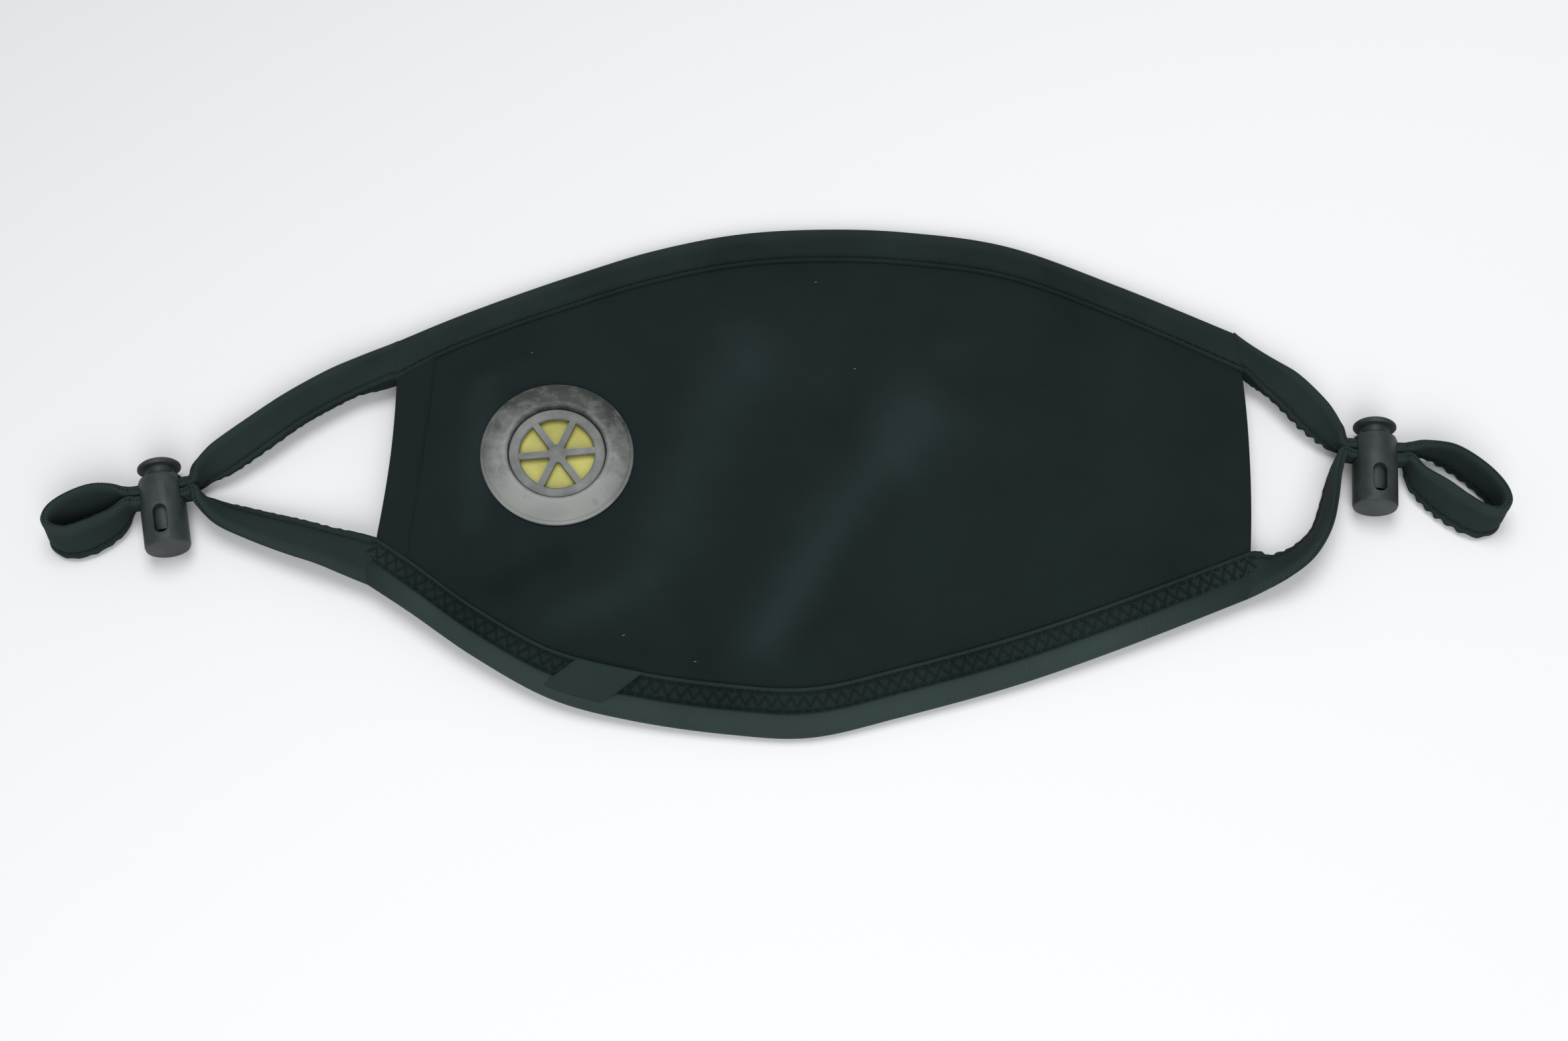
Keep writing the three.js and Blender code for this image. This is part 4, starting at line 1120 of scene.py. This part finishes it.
grille = turned("valve_grille_ring", [
    (OPENING, 0.6), (INNER - 0.25, 0.6), (INNER - 0.25, 1.85), (INNER - 0.55, 2.12),
    (OPENING + 0.3, 2.12), (OPENING, 1.85)], valve_grey, VALVE_PLACE)
hub = turned("hub", [(0, 0.6), (HUB, 0.6), (HUB, 1.85), (HUB - 0.5, 2.08), (0, 2.14)],
             valve_grey, VALVE_PLACE, 48)
spokes = spokes_round_axis(6, OPENING + 0.9, SPOKE, 1.3, 1.35, 7)
combine(grille, combine(hub, spokes, "UNION"), "UNION")
soften(grille, 0.14, 2)
print("grille:", len(grille.data.polygons), "faces")

# %% Back of the valve
BACK = [(9.4, -3.6), (16.2, -3.6), (17.2, -2.9), (17.2, -0.95), (13.0, -0.95), (13.0, -2.7),
        (10.6, -2.7), (10.6, -0.5), (9.4, -0.5)]
back_ring = turned("valve_back_ring", BACK, valve_grey, VALVE_PLACE)
post = turned("post", [(0, -3.6), (1.6, -3.6), (1.6, -0.5), (0, -0.5)], valve_grey,
              VALVE_PLACE, 32)
arms = spokes_round_axis(3, 10, 1.4, 1.2, -3.0, 90)
combine(back_ring, combine(post, arms, "UNION"), "UNION")
soften(back_ring, 0.15, 2)
print("valve back:", len(back_ring.data.polygons), "faces")

# %% [markdown]
# ## Cord locks
# Each lock is a hollow barrel with a hole across it for the tape and a round-ended window in its
# side, and a button with a stem that slides in its open end. Both are turned, and the holes are
# cut out of the turned form. The button rides on its own body, because pressing it moves it.

# %% Lock pieces
LOCK_SIDES = 96
HOLE_LENGTH, HOLE_HEIGHT = 5.8, 5.2
WINDOW_START, WINDOW_LENGTH, WINDOW_WIDTH = 2.3, 7.5, 3.4
CUT_REACH = 12                  # past both sides of a lock
BORE, FLOOR_HEIGHT = 3.85, 1.6
PRESS = 1.9                     # how far a button goes in


def lock_place(lock):
    """Lays an upright lock down on the table, its button end away from the chin."""
    return (Matrix.Translation((lock["x"], lock["y"], LOCK_AXIS))
            @ Matrix.Rotation(math.radians(lock["lean"]), 4, "Z")
            @ Matrix.Rotation(-math.pi / 2, 4, "X"))


def block(name, outline, depth, place):
    """A straight cutter: an outline in local X and Z, pushed through local Y from -depth to 0."""
    rings = [[(x, y, z) for x, z in outline] for y in (-depth, 0)]
    return make_piece(name, placed(rings, place), ring_faces(2, len(outline)), lock_plastic,
                      smooth=False)


def cut_across(piece, low, high, half, place):
    """Cuts a lock's cross hole: from low to high along the lock, and half to each side."""
    outline = [(-CUT_REACH, low), (CUT_REACH, low), (CUT_REACH, high), (-CUT_REACH, high)]
    hole = block("hole", outline, 2 * half, place @ Matrix.Translation((0, half, 0)))
    combine(piece, hole, "DIFFERENCE")


def window_outline():
    r = WINDOW_WIDTH / 2
    low, high = WINDOW_START + r, WINDOW_START + WINDOW_LENGTH - r
    lower = [(r * math.cos(a), low + r * math.sin(a)) for a in np.linspace(-math.pi, 0, 17)]
    upper = [(r * math.cos(a), high + r * math.sin(a)) for a in np.linspace(0, math.pi, 17)]
    return lower + upper


def lock_barrel(side, place):
    radius, length = LOCK["radius"], LOCK["length"]
    barrel = turned(f"lock_{side}_shell", [
        (0, 0), (radius - 0.9, 0), (radius - 0.25, 0.25), (radius, 0.9), (radius, length - 1.5),
        (radius - 0.3, length - 0.6), (radius - 1.1, length), (BORE, length), (BORE, FLOOR_HEIGHT),
        (0, FLOOR_HEIGHT)], lock_plastic, place, LOCK_SIDES)
    high = length - LOCK["depth"]
    cut_across(barrel, high - HOLE_LENGTH, high, HOLE_HEIGHT / 2, place)
    window = block("window", window_outline(), 4.0, place @ Matrix.Translation((0, -radius + 2, 0)))
    combine(barrel, window, "DIFFERENCE")
    return soften(barrel, 0.18, 2)


def lock_button(side, place):
    under, cap = LOCK["length"] + 2.2, 5.2
    button = turned(f"lock_{side}_press", [
        (2.2, 3.9), (3.5, 3.9), (3.5, under), (cap - 0.4, under), (cap, under + 0.4),
        (cap - 0.05, under + 0.9), (cap - 0.6, under + 1.4), (cap - 2.0, under + 1.75),
        (0, under + 1.9), (0, 9), (2.2, 9)], lock_plastic, place, LOCK_SIDES)
    high = LOCK["length"] - LOCK["depth"]
    cut_across(button, high - HOLE_LENGTH, high + PRESS, (HOLE_HEIGHT - 0.2) / 2, place)
    return soften(button, 0.16, 2)


lock_pieces = {}
for side, lock in LOCKS.items():
    place = lock_place(lock)
    lock_pieces[side] = (lock_barrel(side, place), lock_button(side, place))
    print(f"lock {side}:", [len(p.data.polygons) for p in lock_pieces[side]], "faces")

# %% [markdown]
# ## Lint
# Black jersey always carries a few pale specks of lint. A handful of tiny fibres is enough: each
# is one short stitch of pale thread, laid on the cloth where it shows.

# %% Lint
LINT = [(-62.3, 41.0), (17.2, 35.6), (-20.5, -39.0), (8.0, 62.0), (-38.0, -33.0)]


def nearest_on_cloth(x, y):
    """The cloth's point under a place, and the direction out of the cloth there."""
    u, v = np.meshgrid(np.linspace(0.02, 0.98, 241), np.linspace(0.08, 0.92, 201), indexing="ij")
    points = cloth_points(u, v)
    best = np.argmin(np.hypot(points[..., 0] - x, points[..., 1] - y))
    return points.reshape(-1, 3)[best], cloth_normals(u, v).reshape(-1, 3)[best]


lint_pieces = []
for number, (x, y) in enumerate(LINT):
    spot, up = nearest_on_cloth(x, y)
    start = spot + up * (CLOTH / 2 + 0.08)
    ends = np.array([start, start + [0.30, 0.12 * (number - 2), 0.0]])
    lint_pieces.append(sew(f"lint_{number + 1}", ends, [up, up], *LINT_SPECK, lint_fibre))
print("lint:", len(lint_pieces), "specks")

# %% [markdown]
# ## Joining the frame
# Every piece says which CAD body it moves with, which CAD node it stands for and which finish slot
# it uses.

# %% Ride and replace
RIDES = [   # piece, body, the CAD nodes it stands for, finish slot
    (body_cloth, BODY, ["panel"], "cotton"),
    (nose_tape, BODY, ["binding_top"], "tape"),
    (chin_tape, BODY, ["binding_bottom"], "tape"),
    (overlap_piece, BODY, ["tape_overlap"], "tape"),
    (left_loop, BODY, ["ear_loop_left"], "tape"),
    (right_loop, BODY, ["ear_loop_right"], "tape"),
    (flange, BODY, ["valve_flange"], "valve_grey"),
    (grille, BODY, ["valve_grille"], "valve_grey"),
    (flap, BODY, ["valve_flap"], "valve_yellow"),
    (back_ring, BODY, ["valve_back"], "valve_grey"),
]
for side, (barrel, button) in lock_pieces.items():
    RIDES.append((barrel, BODY, [f"lock_{side}_barrel"], "lock_plastic"))
    RIDES.append((button, f"button_{side}", [f"lock_{side}_button"], "lock_plastic"))
for piece, body, nodes, slot in RIDES:
    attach(piece, body)
    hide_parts(*nodes)
for piece in stitch_pieces:
    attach(piece, BODY)
for piece in lint_pieces:
    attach(piece, BODY)
